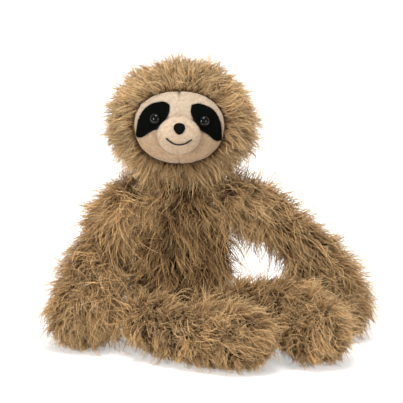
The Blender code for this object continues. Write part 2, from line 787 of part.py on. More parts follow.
def rounded_start(centre, way, radius, angles):
    """Points and radii of the back of a ball round a joint."""
    made = []
    for degrees in angles:
        angle = math.radians(degrees)
        made.append((centre - way * (radius * math.sin(angle)), radius * math.cos(angle)))
    return made


def rounded_end(centre, way, radius, angles):
    return rounded_start(centre, -way, radius, angles)


def upper_stretch(places, root_radius, belly_radius, bend_radius, inset=0.0, filled=False):
    """Stations of an upper arm or a thigh, of its hollow at an inset, or of the filling in that."""
    first, whole, _ = ways(places)
    start, end = places[0], places[1]
    length = (end - start).length
    rim = math.radians(RIM_ANGLE)
    seat = bend_radius + BEND_GAP
    knots = [
        (0.0, root_radius),
        (BELLY_SHARE * length, belly_radius),
        (length - seat * math.cos(rim), seat * math.sin(rim)),
        (length, seat * math.sin(rim) * math.sin(rim)),
    ]
    if inset:
        made = open_start(start, first, root_radius, inset, filled)
        stop = length - seat - inset
        shares = UPPER_FILLING_SHARES
    else:
        made = rounded_start(start, first, root_radius, ROOT_ANGLES)
        stop = length - seat * math.cos(rim) / 2
        shares = UPPER_SHARES
    for share in shares:
        distance = stop * share
        place = blend_path(start, end, first, whole, distance)
        made.append((place, between(distance, knots) - inset))
    return made


def lower_stretch(places, bend_radius, belly_radius, end_radius, inset=0.0, filled=False):
    """Stations of a forearm or a shin, to the round end of the hand or foot."""
    _, whole, last = ways(places)
    start, end = places[1], places[2]
    length = (end - start).length
    rim = math.radians(RIM_ANGLE)
    neck = bend_radius * math.cos(rim)
    knots = [
        (neck, bend_radius * math.sin(rim)),
        (BELLY_SHARE * length, belly_radius),
        (length, end_radius),
    ]
    if inset:
        made = open_start(start, whole, bend_radius, inset, filled)
        made.append((start + whole * neck, bend_radius * math.sin(rim) - inset))
        shares = LOWER_FILLING_SHARES
        angles = FILLING_TIP_ANGLES
    else:
        made = rounded_start(start, whole, bend_radius, ROOT_ANGLES)
        made += rounded_end(start, whole, bend_radius, BALL_ANGLES)
        shares = LOWER_SHARES
        angles = TIP_ANGLES
    for share in shares:
        distance = length * share
        place = blend_path(start, end, whole, last, distance)
        made.append((place, between(distance, knots) - inset))
    return made + rounded_end(end, last, end_radius - inset, angles)


def open_start(centre, way, root_radius, inset, filled):
    """The mouth through the middle of a rounded root. A filling stops short of the outside."""
    inner = root_radius - inset
    mouth = inner * MOUTH_SHARE
    back = root_radius + OVERRUN
    if filled:
        back = math.sqrt(root_radius**2 - mouth**2) - MESH_GAP
        mouth -= MESH_GAP
    return [
        (centre - way * back, mouth),
        (centre - way * inner, mouth),
        (centre - way * (inner * MOUTH_NECK_SHARE), inner * MOUTH_FLARE_SHARE),
        (centre, inner),
    ]


def sleeve(name, stations, hollow, filling, seat=None):
    """The skin and the stuffing of one stretch. The seat is the ball that its far end turns on."""
    skin = add_part(name, tube(name, *zip(*stations), SKIN_SIDES), fur_brown)
    hollow_name = name + "_hollow"
    cut(skin, add_cutter(hollow_name, tube(hollow_name, *zip(*hollow), FILLING_SIDES)))
    stuffing_name = name + "_stuffing"
    stuffing = add_part(stuffing_name, tube(stuffing_name, *zip(*filling), FILLING_SIDES), fibre)
    if seat is not None:
        cut(skin, seat)
    cut(skin, floor)
    return skin, stuffing


def limb(side, words, places, sizes):
    """A whole limb: words name its root, two stretches and bend, and sizes are its radii from root to end."""
    word = "right" if side == RIGHT else "left"
    root_word, upper_word, lower_word, bend_word = [word + "_" + name for name in words]
    root_radius, upper_belly, bend_radius, lower_belly, end_radius = sizes
    inner = SKIN_WALL + BEND_GAP
    seat_name = bend_word + "_seat"
    seat = add_cutter(seat_name, ball(seat_name, places[1], bend_radius + BEND_GAP))
    upper_pieces = sleeve(
        upper_word,
        upper_stretch(places, root_radius, upper_belly, bend_radius),
        upper_stretch(places, root_radius, upper_belly, bend_radius, SKIN_WALL),
        upper_stretch(places, root_radius, upper_belly, bend_radius, inner, filled=True),
        seat,
    )
    lower_pieces = sleeve(
        lower_word,
        lower_stretch(places, bend_radius, lower_belly, end_radius),
        lower_stretch(places, bend_radius, lower_belly, end_radius, SKIN_WALL),
        lower_stretch(places, bend_radius, lower_belly, end_radius, inner, filled=True),
    )
    inward = Vector((-places[0].x, -places[0].y, 0.0)).normalized()
    seam = seam_ring(root_word + "_seam", places[0], inward, root_radius, SEAM_ANGLE)
    seam_axis = axis_empty(root_word + "_seam_axis", places[0])
    carry(seam_axis, seam)
    root_axis = axis_empty(root_word + "_axis", places[0], seam_axis)
    carry(root_axis, *upper_pieces)
    bend_axis = axis_empty(bend_word + "_axis", places[1], root_axis)
    carry(bend_axis, *lower_pieces)


arm_words = ("shoulder", "upper_arm", "forearm", "elbow")
leg_words = ("hip", "thigh", "shin", "knee")
arm_sizes = (ARM_ROOT_RADIUS, ARM_BELLY_RADIUS, ELBOW_RADIUS, FOREARM_BELLY_RADIUS, HAND_RADIUS)
leg_sizes = (LEG_ROOT_RADIUS, LEG_BELLY_RADIUS, KNEE_RADIUS, SHIN_BELLY_RADIUS, FOOT_RADIUS)
limb(RIGHT, arm_words, right_arm_places, arm_sizes)
limb(LEFT, arm_words, left_arm_places, arm_sizes)
limb(RIGHT, leg_words, right_leg_places, leg_sizes)
limb(LEFT, leg_words, left_leg_places, leg_sizes)
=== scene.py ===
"""Plush sloth, seated: the looks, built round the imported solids. Metres, +Z up, the toy faces -Y."""

import json
import math

import bpy
import numpy as np
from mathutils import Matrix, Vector


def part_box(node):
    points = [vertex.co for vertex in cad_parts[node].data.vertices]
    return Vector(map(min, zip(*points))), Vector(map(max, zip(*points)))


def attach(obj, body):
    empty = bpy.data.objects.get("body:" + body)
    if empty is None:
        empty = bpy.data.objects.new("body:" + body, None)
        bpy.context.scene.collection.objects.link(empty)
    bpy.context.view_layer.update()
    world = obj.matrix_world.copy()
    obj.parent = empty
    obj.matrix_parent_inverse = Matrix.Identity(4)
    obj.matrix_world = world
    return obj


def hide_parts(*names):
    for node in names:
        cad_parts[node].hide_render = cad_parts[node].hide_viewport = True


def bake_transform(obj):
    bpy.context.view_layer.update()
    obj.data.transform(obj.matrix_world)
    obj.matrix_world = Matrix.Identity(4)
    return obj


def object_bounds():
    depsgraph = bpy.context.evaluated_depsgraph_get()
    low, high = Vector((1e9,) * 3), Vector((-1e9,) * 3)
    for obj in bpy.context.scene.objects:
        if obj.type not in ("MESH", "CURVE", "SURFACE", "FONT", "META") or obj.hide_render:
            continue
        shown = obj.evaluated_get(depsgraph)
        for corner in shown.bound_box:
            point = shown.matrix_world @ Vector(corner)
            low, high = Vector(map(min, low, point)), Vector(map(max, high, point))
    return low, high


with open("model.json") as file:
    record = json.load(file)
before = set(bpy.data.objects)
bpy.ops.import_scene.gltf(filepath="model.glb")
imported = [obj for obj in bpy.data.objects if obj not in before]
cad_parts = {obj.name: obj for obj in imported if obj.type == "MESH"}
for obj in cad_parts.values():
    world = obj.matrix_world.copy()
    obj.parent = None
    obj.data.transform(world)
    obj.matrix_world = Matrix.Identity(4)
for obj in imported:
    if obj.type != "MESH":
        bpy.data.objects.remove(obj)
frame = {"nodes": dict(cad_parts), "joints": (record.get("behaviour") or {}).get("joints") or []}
cad_low, cad_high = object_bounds()
nodes = frame["nodes"]
joint_place = {joint["name"]: Vector(joint["pos_m"]) for joint in frame["joints"]}

# Torso cloth: one sack of fur cloth, sewn down the back and stuffed until it is firm.
# The cloth itself hardly shows. It is the brown backing that the pile is knitted into.
CLOTH_DEPTH = 0.0052
CLOTH_VOXEL = 0.0048
CLOTH_SMOOTHING = 6
CLOTH_LOWEST = 0.0004
CLOTH_TRAVEL = 0.0025
CLOTH_PRESSURE = 4.0
CLOTH_QUALITY = 4
CLOTH_STEPS = 20
MERGE_GAP = 0.00001


def deselect_all():
    bpy.ops.object.select_all(action="DESELECT")


def choose(piece):
    """The piece alone is selected and active."""
    deselect_all()
    piece.select_set(True)
    bpy.context.view_layer.objects.active = piece


def new_object(name, data):
    """An object in the scene that holds the data."""
    made = bpy.data.objects.new(name, data)
    bpy.context.scene.collection.objects.link(made)
    return made


def edit_whole(piece, tool, **settings):
    """Runs one mesh tool over the whole of a piece."""
    choose(piece)
    bpy.ops.object.mode_set(mode="EDIT")
    bpy.ops.mesh.select_all(action="SELECT")
    tool(**settings)
    bpy.ops.object.mode_set(mode="OBJECT")


def join_pieces(name, pieces):
    """Joins the pieces into the first of them, under a new name."""
    deselect_all()
    for piece in pieces:
        piece.select_set(True)
    bpy.context.view_layer.objects.active = pieces[0]
    if len(pieces) > 1:
        bpy.ops.object.join()
    pieces[0].name = name
    return pieces[0]


def solid_copy(name, node_name):
    """A copy of a solid as one merged mesh with no finish on it."""
    piece = new_object(name, nodes[node_name].data.copy())
    piece.data.materials.clear()
    edit_whole(piece, bpy.ops.mesh.remove_doubles, threshold=MERGE_GAP)
    return piece


def hull_of(name, *node_names):
    """One object that holds the outer hull of each named solid."""
    hulls = [solid_copy(name, node_name) for node_name in node_names]
    for hull in hulls:
        edit_whole(hull, bpy.ops.mesh.convex_hull)
    return join_pieces(name, hulls)


def add_modifier(piece, kind, **settings):
    """Adds one modifier with its settings and applies it."""
    choose(piece)
    made = piece.modifiers.new(kind.lower(), kind)
    for key, value in settings.items():
        setattr(made, key, value)
    bpy.ops.object.modifier_apply(modifier=made.name)


def points_of(piece):
    points = np.empty(len(piece.data.vertices) * 3, np.float32)
    piece.data.vertices.foreach_get("co", points)
    return points.reshape(-1, 3).astype(float)


def normals_of(piece):
    normals = np.empty(len(piece.data.vertices) * 3, np.float32)
    piece.data.vertices.foreach_get("normal", normals)
    return normals.reshape(-1, 3).astype(float)


def set_points(piece, points):
    piece.data.vertices.foreach_set("co", points.astype(np.float32).ravel())
    piece.data.update()


def stuff(piece, travel=CLOTH_TRAVEL):
    """Blows the cloth up from inside, as stuffing does, with a cap on how far a point may move."""
    start = points_of(piece)
    cloth = piece.modifiers.new("stuffing", "CLOTH")
    cloth.settings.quality = CLOTH_QUALITY
    cloth.settings.use_pressure = True
    cloth.settings.uniform_pressure_force = CLOTH_PRESSURE
    cloth.settings.effector_weights.gravity = 0.0
    scene = bpy.context.scene
    for step in range(1, CLOTH_STEPS + 1):
        scene.frame_set(step)
    seen = piece.evaluated_get(bpy.context.evaluated_depsgraph_get())
    ended = np.empty(len(seen.data.vertices) * 3, np.float32)
    seen.data.vertices.foreach_get("co", ended)
    piece.modifiers.remove(cloth)
    scene.frame_set(1)
    moved = ended.reshape(-1, 3).astype(float) - start
    far = np.linalg.norm(moved, axis=1, keepdims=True)
    set_points(piece, start + moved * np.minimum(1.0, travel / np.maximum(far, 1e-9)))


def sewn_cloth(name, *node_names):
    """The backing cloth of a fur piece: the solids' hull, sunk by half the pile, remeshed and stuffed."""
    cloth = hull_of(name, *node_names)
    add_modifier(cloth, "REMESH", mode="VOXEL", voxel_size=CLOTH_VOXEL, adaptivity=0.0)
    add_modifier(cloth, "SMOOTH", factor=0.5, iterations=CLOTH_SMOOTHING)
    add_modifier(cloth, "DISPLACE", strength=-CLOTH_DEPTH, mid_level=0.0)
    stuff(cloth)
    add_modifier(cloth, "SUBSURF", levels=1, render_levels=1)
    points = points_of(cloth)
    points[:, 2] = np.maximum(points[:, 2], CLOTH_LOWEST)
    set_points(cloth, points)
    cloth.data.shade_smooth()
    return cloth


def node_material(name, roughness, specular=0.3, sheen=0.0):
    """A Principled material, with its node tree and shader."""
    made = bpy.data.materials.new(name)
    made.use_nodes = True
    shader = made.node_tree.nodes["Principled BSDF"]
    shader.inputs["Roughness"].default_value = roughness
    shader.inputs["Specular IOR Level"].default_value = specular
    shader.inputs["Sheen Weight"].default_value = sheen
    return made, made.node_tree, shader


def link_nodes(tree, source, output, target, entry):
    tree.links.new(source.outputs[output], target.inputs[entry])


def noise_node(tree, scale, detail=3.0, roughness=0.5):
    """Noise on the piece's Object coordinates."""
    place = tree.nodes.new("ShaderNodeTexCoord")
    noise = tree.nodes.new("ShaderNodeTexNoise")
    noise.inputs["Scale"].default_value = scale
    noise.inputs["Detail"].default_value = detail
    noise.inputs["Roughness"].default_value = roughness
    link_nodes(tree, place, "Object", noise, "Vector")
    return noise


def ramp_node(tree, *stops):
    """A colour ramp of (position, linear colour) stops."""
    ramp = tree.nodes.new("ShaderNodeValToRGB")
    while len(ramp.color_ramp.elements) < len(stops):
        ramp.color_ramp.elements.new(0.5)
    for element, (position, colour) in zip(ramp.color_ramp.elements, stops):
        element.position = position
        element.color = (*colour, 1.0)
    return ramp


def colour_by(tree, shader, source, output, *stops):
    """The shader's colour follows a node's output through a ramp of stops."""
    ramp = ramp_node(tree, *stops)
    link_nodes(tree, source, output, ramp, "Fac")
    link_nodes(tree, ramp, "Color", shader, "Base Color")


def bump_from(tree, source, output, shader, strength, distance):
    bump = tree.nodes.new("ShaderNodeBump")
    bump.inputs["Strength"].default_value = strength
    bump.inputs["Distance"].default_value = distance
    link_nodes(tree, source, output, bump, "Height")
    link_nodes(tree, bump, "Normal", shader, "Normal")


backing_cloth, tree, shader = node_material("backing_cloth", 0.95, 0.1)
mottle = (0.3, (0.050, 0.028, 0.014)), (0.7, (0.125, 0.075, 0.036))
colour_by(tree, shader, noise_node(tree, 90.0, 4.0), "Fac", *mottle)
bump_from(tree, noise_node(tree, 900.0, 2.0), "Fac", shader, 0.6, 0.0008)

torso_cloth = sewn_cloth("torso_cloth", "torso_skin")
torso_cloth.data.materials.append(backing_cloth)
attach(torso_cloth, "torso")
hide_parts("torso_skin")

# Head cloth: a stuffed ball of the same fur cloth, gathered at the neck, with a window for the face.
# It is the backing that the head pile grows from, a pile painted paler than the body's.
head_cloth = sewn_cloth("head_cloth", "head_skin")
head_cloth.data.materials.append(backing_cloth)
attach(head_cloth, "head")
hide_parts("head_skin")

# Arm and leg cloths: four tapered sleeves of fur cloth, each one piece from its root to its rounded end.
# A sleeve bends at its middle, where the stuffing is thin.
FAR_HALF_SHARE = 0.62
limbs = {
    "right_arm": ("right_arm", "right_hand", "right_upper_arm", "right_forearm", "right_elbow"),
    "left_arm": ("left_arm", "left_hand", "left_upper_arm", "left_forearm", "left_elbow"),
    "right_leg": ("right_leg", "right_foot", "right_thigh", "right_shin", "right_knee"),
    "left_leg": ("left_leg", "left_foot", "left_thigh", "left_shin", "left_knee"),
}
limb_roots = {
    "right_arm": joint_place["right_shoulder_swing"],
    "left_arm": joint_place["left_shoulder_swing"],
    "right_leg": joint_place["right_hip_lift"],
    "left_leg": joint_place["left_hip_lift"],
}


def limb_line(limb):
    """A limb's root, bend and end: the end is the middle of its last solid's far half."""
    lower_node, bend_joint = limbs[limb][3:]
    root, bend = limb_roots[limb], joint_place[bend_joint]
    corners = points_of(nodes[lower_node])
    apart = np.linalg.norm(corners - np.array(bend), axis=1)
    far = corners[apart > FAR_HALF_SHARE * apart.max()]
    return root, bend, Vector((far.min(0) + far.max(0)) / 2)


def bend_limb(piece, limb):
    """Works out the limb's root, bend and end, and bakes the piece's transform into its mesh."""
    root, bend, end = limb_line(limb)
    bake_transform(piece)


sleeves = {}
for limb in limbs:
    upper_node, lower_node = limbs[limb][2:4]
    sleeve = sewn_cloth(limb + "_cloth", upper_node, lower_node)
    sleeve.data.materials.append(backing_cloth)
    sleeves[limb] = sleeve
    bend_limb(sleeve, limb)
    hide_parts(upper_node, lower_node)

# Fur: long shaggy acrylic pile, knitted into the backing cloth: a woolly underfur, wavy locks over it,
# and pale loose strands that fly out past both. Each hair is a closed tapered spike. The torso and head fur
# hang on the same bodies as their cloths.
WOOL = {
    "share": 0.60,
    "stations": np.array([0.0, 0.35, 0.70, 1.0]),
    "lengths": (0.52, 0.88),
    "radius": 0.00043,
    "lock_size": 5,
    "pull": 0.30,
    "stray": 0.26,
    "erect": 1.0,
    "wave": 1.2,
    "tones": (0.0, 0.50),
}
LOCKS = {
    "share": 0.30,
    "stations": np.array([0.0, 0.20, 0.40, 0.60, 0.80, 1.0]),
    "lengths": (0.76, 1.15),
    "radius": 0.00033,
    "lock_size": 4,
    "pull": 0.62,
    "stray": 0.14,
    "erect": 1.0,
    "wave": 1.0,
    "tones": (0.02, 0.68),
}
STRANDS = {
    "share": 0.10,
    "stations": np.array([0.0, 0.14, 0.28, 0.42, 0.56, 0.70, 0.85, 1.0]),
    "lengths": (0.98, 1.95),
    "radius": 0.00034,
    "lock_size": 3,
    "pull": 0.62,
    "stray": 0.36,
    "erect": 1.50,
    "wave": 1.2,
    "tones": (0.50, 1.0),
}
RING_SIDES = 3
TAPER = 0.65
TUFT_SIZE = 42
TUFT_LENGTH_SHARES = (0.80, 1.22)
HAIR_WIDTH_SHARES = (0.7, 1.2)
LOCK_TONE_SHARE = 0.6
LENGTH_BIAS = 1.4
BOW = 0.45
END_LAY, END_STAND, END_LEAN = 1.2, 0.35, 1.4
WAVE_TURNS, WAVE_SWINGS = (0.35, 1.2), (0.4, 1.5)
WAVE_PHASE_SPREAD = 0.5
WAVE_FLATNESS = 0.7
LOCK_CLOSING, LOCK_EASE = 0.92, 0.8
FLOOR_CLEARANCE = 0.0007
REACH_LIMIT = np.array([0.0170, 0.0148, 0.0163])
MOST_CUT, RAGGED_SHARES = 0.9, (0.66, 1.0)
BAKE_CELL_TALLNESS = 3.0
BAKE_MARGIN, BAKE_FOOT, BAKE_SIDE = 0.03, 0.05, 0.94
NEAREST_BATCH = 2000
GRAVITY = np.array([0.0, 0.0, -1.0])
FORWARD = np.array([0.0, -1.0, 0.0])


def unit(vectors):
    return vectors / np.maximum(np.linalg.norm(vectors, axis=-1, keepdims=True), 1e-9)


def scatter_roots(cloth, count, random, keep):
    """Root places and normals, spread evenly over the cloth where keep says so."""
    mesh = cloth.data
    mesh.calc_loop_triangles()
    corners = np.empty(len(mesh.loop_triangles) * 3, np.int32)
    mesh.loop_triangles.foreach_get("vertices", corners)
    corners = corners.reshape(-1, 3)
    points, normals = points_of(cloth), normals_of(cloth)
    a, b, c = (points[corners[:, k]] for k in range(3))
    area = np.linalg.norm(np.cross(b - a, c - a), axis=1) / 2
    roots, ways = np.empty((0, 3)), np.empty((0, 3))
    while len(roots) < count:
        chosen = random.choice(len(area), count, p=area / area.sum())
        u, v = random.random_sample(count), random.random_sample(count)
        flip = u + v > 1
        u[flip], v[flip] = 1 - u[flip], 1 - v[flip]
        w = 1 - u - v
        share = np.stack([w, u, v], axis=1)[:, :, None]
        place = (points[corners[chosen]] * share).sum(1)
        way = unit((normals[corners[chosen]] * share).sum(1))
        kept = keep(place, way)
        roots, ways = np.concatenate([roots, place[kept]]), np.concatenate([ways, way[kept]])
    return roots[:count], ways[:count]


def nearest(places, guides):
    """The number of each place's nearest guide, worked out in batches to spare memory."""
    found = np.empty(len(places), int)
    for start in range(0, len(places), NEAREST_BATCH):
        part = places[start : start + NEAREST_BATCH]
        apart = ((part[:, None, :] - guides[None, :, :]) ** 2).sum(-1)
        found[start : start + NEAREST_BATCH] = apart.argmin(1)
    return found


def guides_for(roots, random, size):
    """For each hair, the number of the hair that leads its group."""
    picks = random.choice(len(roots), max(1, len(roots) // size), replace=False)
    return picks[nearest(roots, roots[picks])]


def hair_paths(roots, ways, lay, lengths, lean, lock, random, stations, erect, droop, wave):
    """Places along each hair, which stands up, leans with its tuft and lock, droops and waves."""
    count = len(roots)
    start_way = unit(ways * erect + lay + lean)
    end_way = unit(lay * END_LAY + ways * END_STAND + GRAVITY * droop + lean * END_LEAN)
    rise = stations[None, :, None]
    paths = roots[:, None, :] + lengths[:, None, None] * (
        start_way[:, None, :] * (rise - BOW * rise**2) + end_way[:, None, :] * (BOW * rise**2)
    )
    side = unit(np.cross(start_way, random.normal(size=(count, 3))[lock]))
    other = np.cross(side, start_way)
    turns = random.uniform(*WAVE_TURNS, (count, 1, 1))[lock]
    phase = random.uniform(0, 2 * math.pi, (count, 1, 1))[lock]
    phase = phase + random.normal(0, WAVE_PHASE_SPREAD, (count, 1, 1))
    swing = wave * lengths[:, None, None] * rise * random.uniform(*WAVE_SWINGS, (count, 1, 1))[lock]
    turn = 2 * math.pi * turns * rise + phase
    across = side[:, None, :] * np.sin(turn) + other[:, None, :] * np.cos(turn) * WAVE_FLATNESS
    return paths + swing * across


def draw_together(paths, lock, stations, pull):
    """Draws the hairs' outer parts together in their locks."""
    apart = (paths[:, 0] - paths[lock, 0])[:, None, :]
    rise = stations[None, :, None]
    target = paths[lock] + apart * (1 - LOCK_CLOSING * rise)
    return paths + (target - paths) * pull * rise**LOCK_EASE


def keep_in_reach(paths, random):
    """Shortens the hairs that would pass the reach allowed round the solids, raggedly, or the floor."""
    low = np.array(cad_low) - REACH_LIMIT
    high = np.array(cad_high) + REACH_LIMIT
    roots = paths[:, :1]
    over = np.maximum((paths - high) / np.maximum(paths - roots, 1e-6), 0)
    under = np.maximum((low - paths) / np.maximum(roots - paths, 1e-6), 0)
    cutback = np.clip(np.maximum(over, under).max(axis=(1, 2)), 0, MOST_CUT)
    ragged = np.where(cutback > 0, random.uniform(*RAGGED_SHARES, len(paths)), 1.0)
    paths = roots + (paths - roots) * ((1 - cutback) * ragged)[:, None, None]
    paths[:, :, 2] = np.maximum(paths[:, :, 2], FLOOR_CLEARANCE)
    return paths


def hair_shape(stations):
    """One hair's faces and their places in its cell of the bake map."""
    rings = len(stations) - 1
    faces, cells = [], []
    level = BAKE_FOOT + (BAKE_SIDE - BAKE_FOOT) * stations
    for corner in range(RING_SIDES):
        after = (corner + 1) % RING_SIDES
        left, right = corner / RING_SIDES * BAKE_SIDE, (corner + 1) / RING_SIDES * BAKE_SIDE
        for ring in range(rings - 1):
            low, high = ring * RING_SIDES, (ring + 1) * RING_SIDES
            faces.append((low + corner, low + after, high + after, high + corner))
            below, above = level[ring], level[ring + 1]
            cells.append(((left, below), (right, below), (right, above), (left, above)))
        top = (rings - 1) * RING_SIDES
        faces.append((top + corner, top + after, rings * RING_SIDES))
        last, tip = level[rings - 1], level[rings]
        cells.append(((left, last), (right, last), ((left + right) / 2, tip)))
    faces.append((2, 1, 0))
    cells.append(((0.0, 0.0), (BAKE_SIDE, 0.0), (BAKE_SIDE / 2, BAKE_FOOT * 0.8)))
    return faces, cells


def hair_points(paths, radii, stations):
    """The corners of each hair's rings, and its tip."""
    rings = len(stations) - 1
    tangent = unit(np.gradient(paths, axis=1))
    helper = np.where(np.abs(tangent[:, :1, 2:3]) < 0.9, [[[0.0, 0.0, 1.0]]], [[[1.0, 0.0, 0.0]]])
    side = unit(np.cross(tangent, np.broadcast_to(helper, tangent.shape)))
    other = np.cross(tangent, side)
    spread = (1 - stations[:-1]) ** TAPER
    points = np.empty((len(paths), rings * RING_SIDES + 1, 3))
    for ring in range(rings):
        for corner in range(RING_SIDES):
            angle = 2 * math.pi * corner / RING_SIDES
            offset = side[:, ring] * math.cos(angle) + other[:, ring] * math.sin(angle)
            offset = offset * (radii * spread[ring])[:, None]
            points[:, ring * RING_SIDES + corner] = paths[:, ring] + offset
    points[:, -1] = paths[:, -1]
    points[:, :, 2] = np.maximum(points[:, :, 2], FLOOR_CLEARANCE / 2)
    return points


def hair_mesh(name, *growths):
    """Three-sided closed spikes, one bake cell a hair. A growth is (paths, radii, tones, stations)."""
    total = sum(len(paths) for paths, radii, tones, stations in growths)
    columns = int(math.ceil(math.sqrt(total * BAKE_CELL_TALLNESS)))
    rows = int(math.ceil(total / columns))
    points, corners, sizes, places, along, tone = [], [], [], [], [], []
    first_hair = first_point = 0
    for paths, radii, tones, stations in growths:
        count, rings = len(paths), len(stations) - 1
        faces, cells = hair_shape(stations)
        per_hair = rings * RING_SIDES + 1
        points.append(hair_points(paths, radii, stations).reshape(-1, 3))
        flat_faces = np.concatenate([np.array(face) for face in faces])
        flat_cells = np.concatenate([np.array(cell) for cell in cells])
        first_corners = per_hair * np.arange(count)[:, None]
        corners.append((flat_faces[None, :] + first_corners).ravel() + first_point)
        sizes.append(np.tile([len(face) for face in faces], count))
        order = np.arange(count) + first_hair
        across = (order % columns)[:, None] + BAKE_MARGIN + flat_cells[None, :, 0]
        up = (order // columns)[:, None] + BAKE_MARGIN + flat_cells[None, :, 1]
        places.append(np.stack([across / columns, up / rows], axis=-1).reshape(-1, 2))
        along.append(np.tile(np.append(np.repeat(stations[:-1], RING_SIDES), 1.0), count))
        tone.append(np.repeat(tones, per_hair))
        first_hair += count
        first_point += count * per_hair
    points, corners, sizes = np.concatenate(points), np.concatenate(corners), np.concatenate(sizes)
    mesh = bpy.data.meshes.new(name)
    mesh.vertices.add(len(points))
    mesh.vertices.foreach_set("co", points.astype(np.float32).ravel())
    mesh.loops.add(len(corners))
    mesh.loops.foreach_set("vertex_index", corners.astype(np.int32))
    mesh.polygons.add(len(sizes))
    mesh.polygons.foreach_set("loop_start", np.append(0, np.cumsum(sizes)[:-1]).astype(np.int32))
    mesh.polygons.foreach_set("loop_total", sizes.astype(np.int32))
    layer = mesh.uv_layers.new(name="OFBake")
    layer.data.foreach_set("uv", np.concatenate(places).astype(np.float32).ravel())
    for attribute, values in (("along", along), ("tone", tone)):
        made = mesh.attributes.new(attribute, "FLOAT", "POINT")
        made.data.foreach_set("value", np.concatenate(values).astype(np.float32))
    mesh.update()
    mesh.validate()
    mesh.shade_smooth()
    return new_object(name, mesh)


def attribute_node(tree, name):
    found = tree.nodes.new("ShaderNodeAttribute")
    found.attribute_name = name
    return found


def math_node(tree, operation, first, second):
    """A Math node on two node outputs."""
    made = tree.nodes.new("ShaderNodeMath")
    made.operation = operation
    tree.links.new(first, made.inputs[0])
    tree.links.new(second, made.inputs[1])
    return made.outputs["Value"]


def range_node(tree, value, from_range, to_range):
    """A Map Range node on a node output."""
    made = tree.nodes.new("ShaderNodeMapRange")
    made.inputs["From Min"].default_value, made.inputs["From Max"].default_value = from_range
    made.inputs["To Min"].default_value, made.inputs["To Max"].default_value = to_range
    tree.links.new(value, made.inputs["Value"])
    return made.outputs["Result"]


def fur_material(name, root, middle, tip, pale, brightest=1.55):
    """Acrylic pile, paler to the tip, partly its own colour and partly painted glow of light through the
    tips; each hair a little different, with larger faded patches.
    """
    made, tree, shader = node_material(name, 0.60, 0.16, 0.06)
    # Painted light in part: the ramp's pale end is partly the pile's own colour and partly the glow of light
    # through the tips.
    ramp = ramp_node(tree, (0.0, root), (0.32, middle), (0.72, tip), (1.0, pale))
    link_nodes(tree, attribute_node(tree, "along"), "Fac", ramp, "Fac")
    tone = attribute_node(tree, "tone").outputs["Fac"]
    brightness = range_node(tree, tone, (0.0, 1.0), (0.55, brightest))
    patches = noise_node(tree, 28.0, 3.0).outputs["Fac"]
    fade = range_node(tree, patches, (0.3, 0.7), (0.86, 1.12))
    tinted = tree.nodes.new("ShaderNodeVectorMath")
    tinted.operation = "SCALE"
    link_nodes(tree, ramp, "Color", tinted, "Vector")
    tree.links.new(math_node(tree, "MULTIPLY", brightness, fade), tinted.inputs["Scale"])
    link_nodes(tree, tinted, "Vector", shader, "Base Color")
    return made


def grow_fur(name, cloth, count, seed, keep, lay_of, length_of, shape, finish):
    """One piece of fur over a cloth. The shape is (erect, droop, tuft lean, lock lean, wave)."""
    random = np.random.RandomState(seed)
    erect, droop, tuft_lean, lock_lean, wave = shape
    roots, ways = scatter_roots(cloth, count, random, keep)
    tuft = guides_for(roots, random, TUFT_SIZE)
    lean = unit(random.normal(size=(count, 3)))[tuft] * tuft_lean
    lay = lay_of(roots, ways)
    full_lengths = length_of(roots, ways) * random.uniform(*TUFT_LENGTH_SHARES, count)[tuft]
    growths = []
    first = 0
    for kind in (WOOL, LOCKS, STRANDS):
        amount = int(count * kind["share"])
        chosen = slice(first, first + amount)
        first += amount
        place, way, stations = roots[chosen], ways[chosen], kind["stations"]
        lock = guides_for(place, random, kind["lock_size"])
        own_lean = unit(random.normal(size=(amount, 3)))[lock] * lock_lean
        own_lean = own_lean + random.normal(size=(amount, 3)) * kind["stray"]
        shared = 0.5 * random.random_sample(amount)[lock] + 0.5 * random.random_sample(amount)
        shared = shared**LENGTH_BIAS
        short, long = kind["lengths"]
        lengths = full_lengths[chosen] * (short + (long - short) * shared)
        paths = hair_paths(
            place,
            way,
            lay[chosen],
            lengths,
            lean[chosen] + own_lean,
            lock,
            random,
            stations,
            erect * kind["erect"],
            droop,
            wave * kind["wave"],
        )
        paths = draw_together(paths, lock, stations, kind["pull"])
        paths = keep_in_reach(paths, random)
        radii = kind["radius"] * random.uniform(*HAIR_WIDTH_SHARES, amount)
        dark, pale = kind["tones"]
        tones = LOCK_TONE_SHARE * random.random_sample(amount)[lock]
        tones = tones + (1 - LOCK_TONE_SHARE) * random.random_sample(amount)
        growths.append((paths, radii, dark + (pale - dark) * tones, stations))
    piece = hair_mesh(name, *growths)
    piece.data.materials.append(finish)
    return piece


# Torso fur: the sack's own pile. On the chest and back it takes a darker copy of the limbs' pile, which is
# painted shade for the shadow that the head and arms cast. It hangs down the chest, stands out a little over
# the sides and back, and is thick at the collar, which keeps the limbs' pile.
TORSO_HAIRS = 6600
COLLAR_HAIRS = 2000
TORSO_SHAPE = (0.85, 0.62, 0.42, 0.38, 0.12)
TORSO_LENGTH, SEAT_LENGTH = 0.0235, 0.006
SIDE_EXTRA, SHOULDER_EXTRA = 0.0085, 0.0050
SHOULDER_FOOT, SHOULDER_RISE = 0.085, 0.03
TORSO_LAY, COLLAR_LIFT = 0.75, 0.60
COLLAR_FOOT, COLLAR_RISE = 0.108, 0.015
COLLAR_LOWEST, COLLAR_SIDE = 0.106, 0.62
SEAT_SLOPE, UNDERSIDE_SLOPE = -0.6, -0.85
body_pile = fur_material(
    "body_pile", (0.148, 0.077, 0.030), (0.462, 0.272, 0.118), (0.756, 0.497, 0.236), (0.830, 0.625, 0.360)
)
# Painted shade: a darker copy of the body's pile, for the shadow that the head and arms cast on the chest.
chest_pile_painted_shade = fur_material(
    "chest_pile_painted_shade",
    (0.056, 0.027, 0.009),
    (0.202, 0.108, 0.041),
    (0.402, 0.240, 0.101),
    (0.620, 0.428, 0.218),
    brightest=1.95,
)


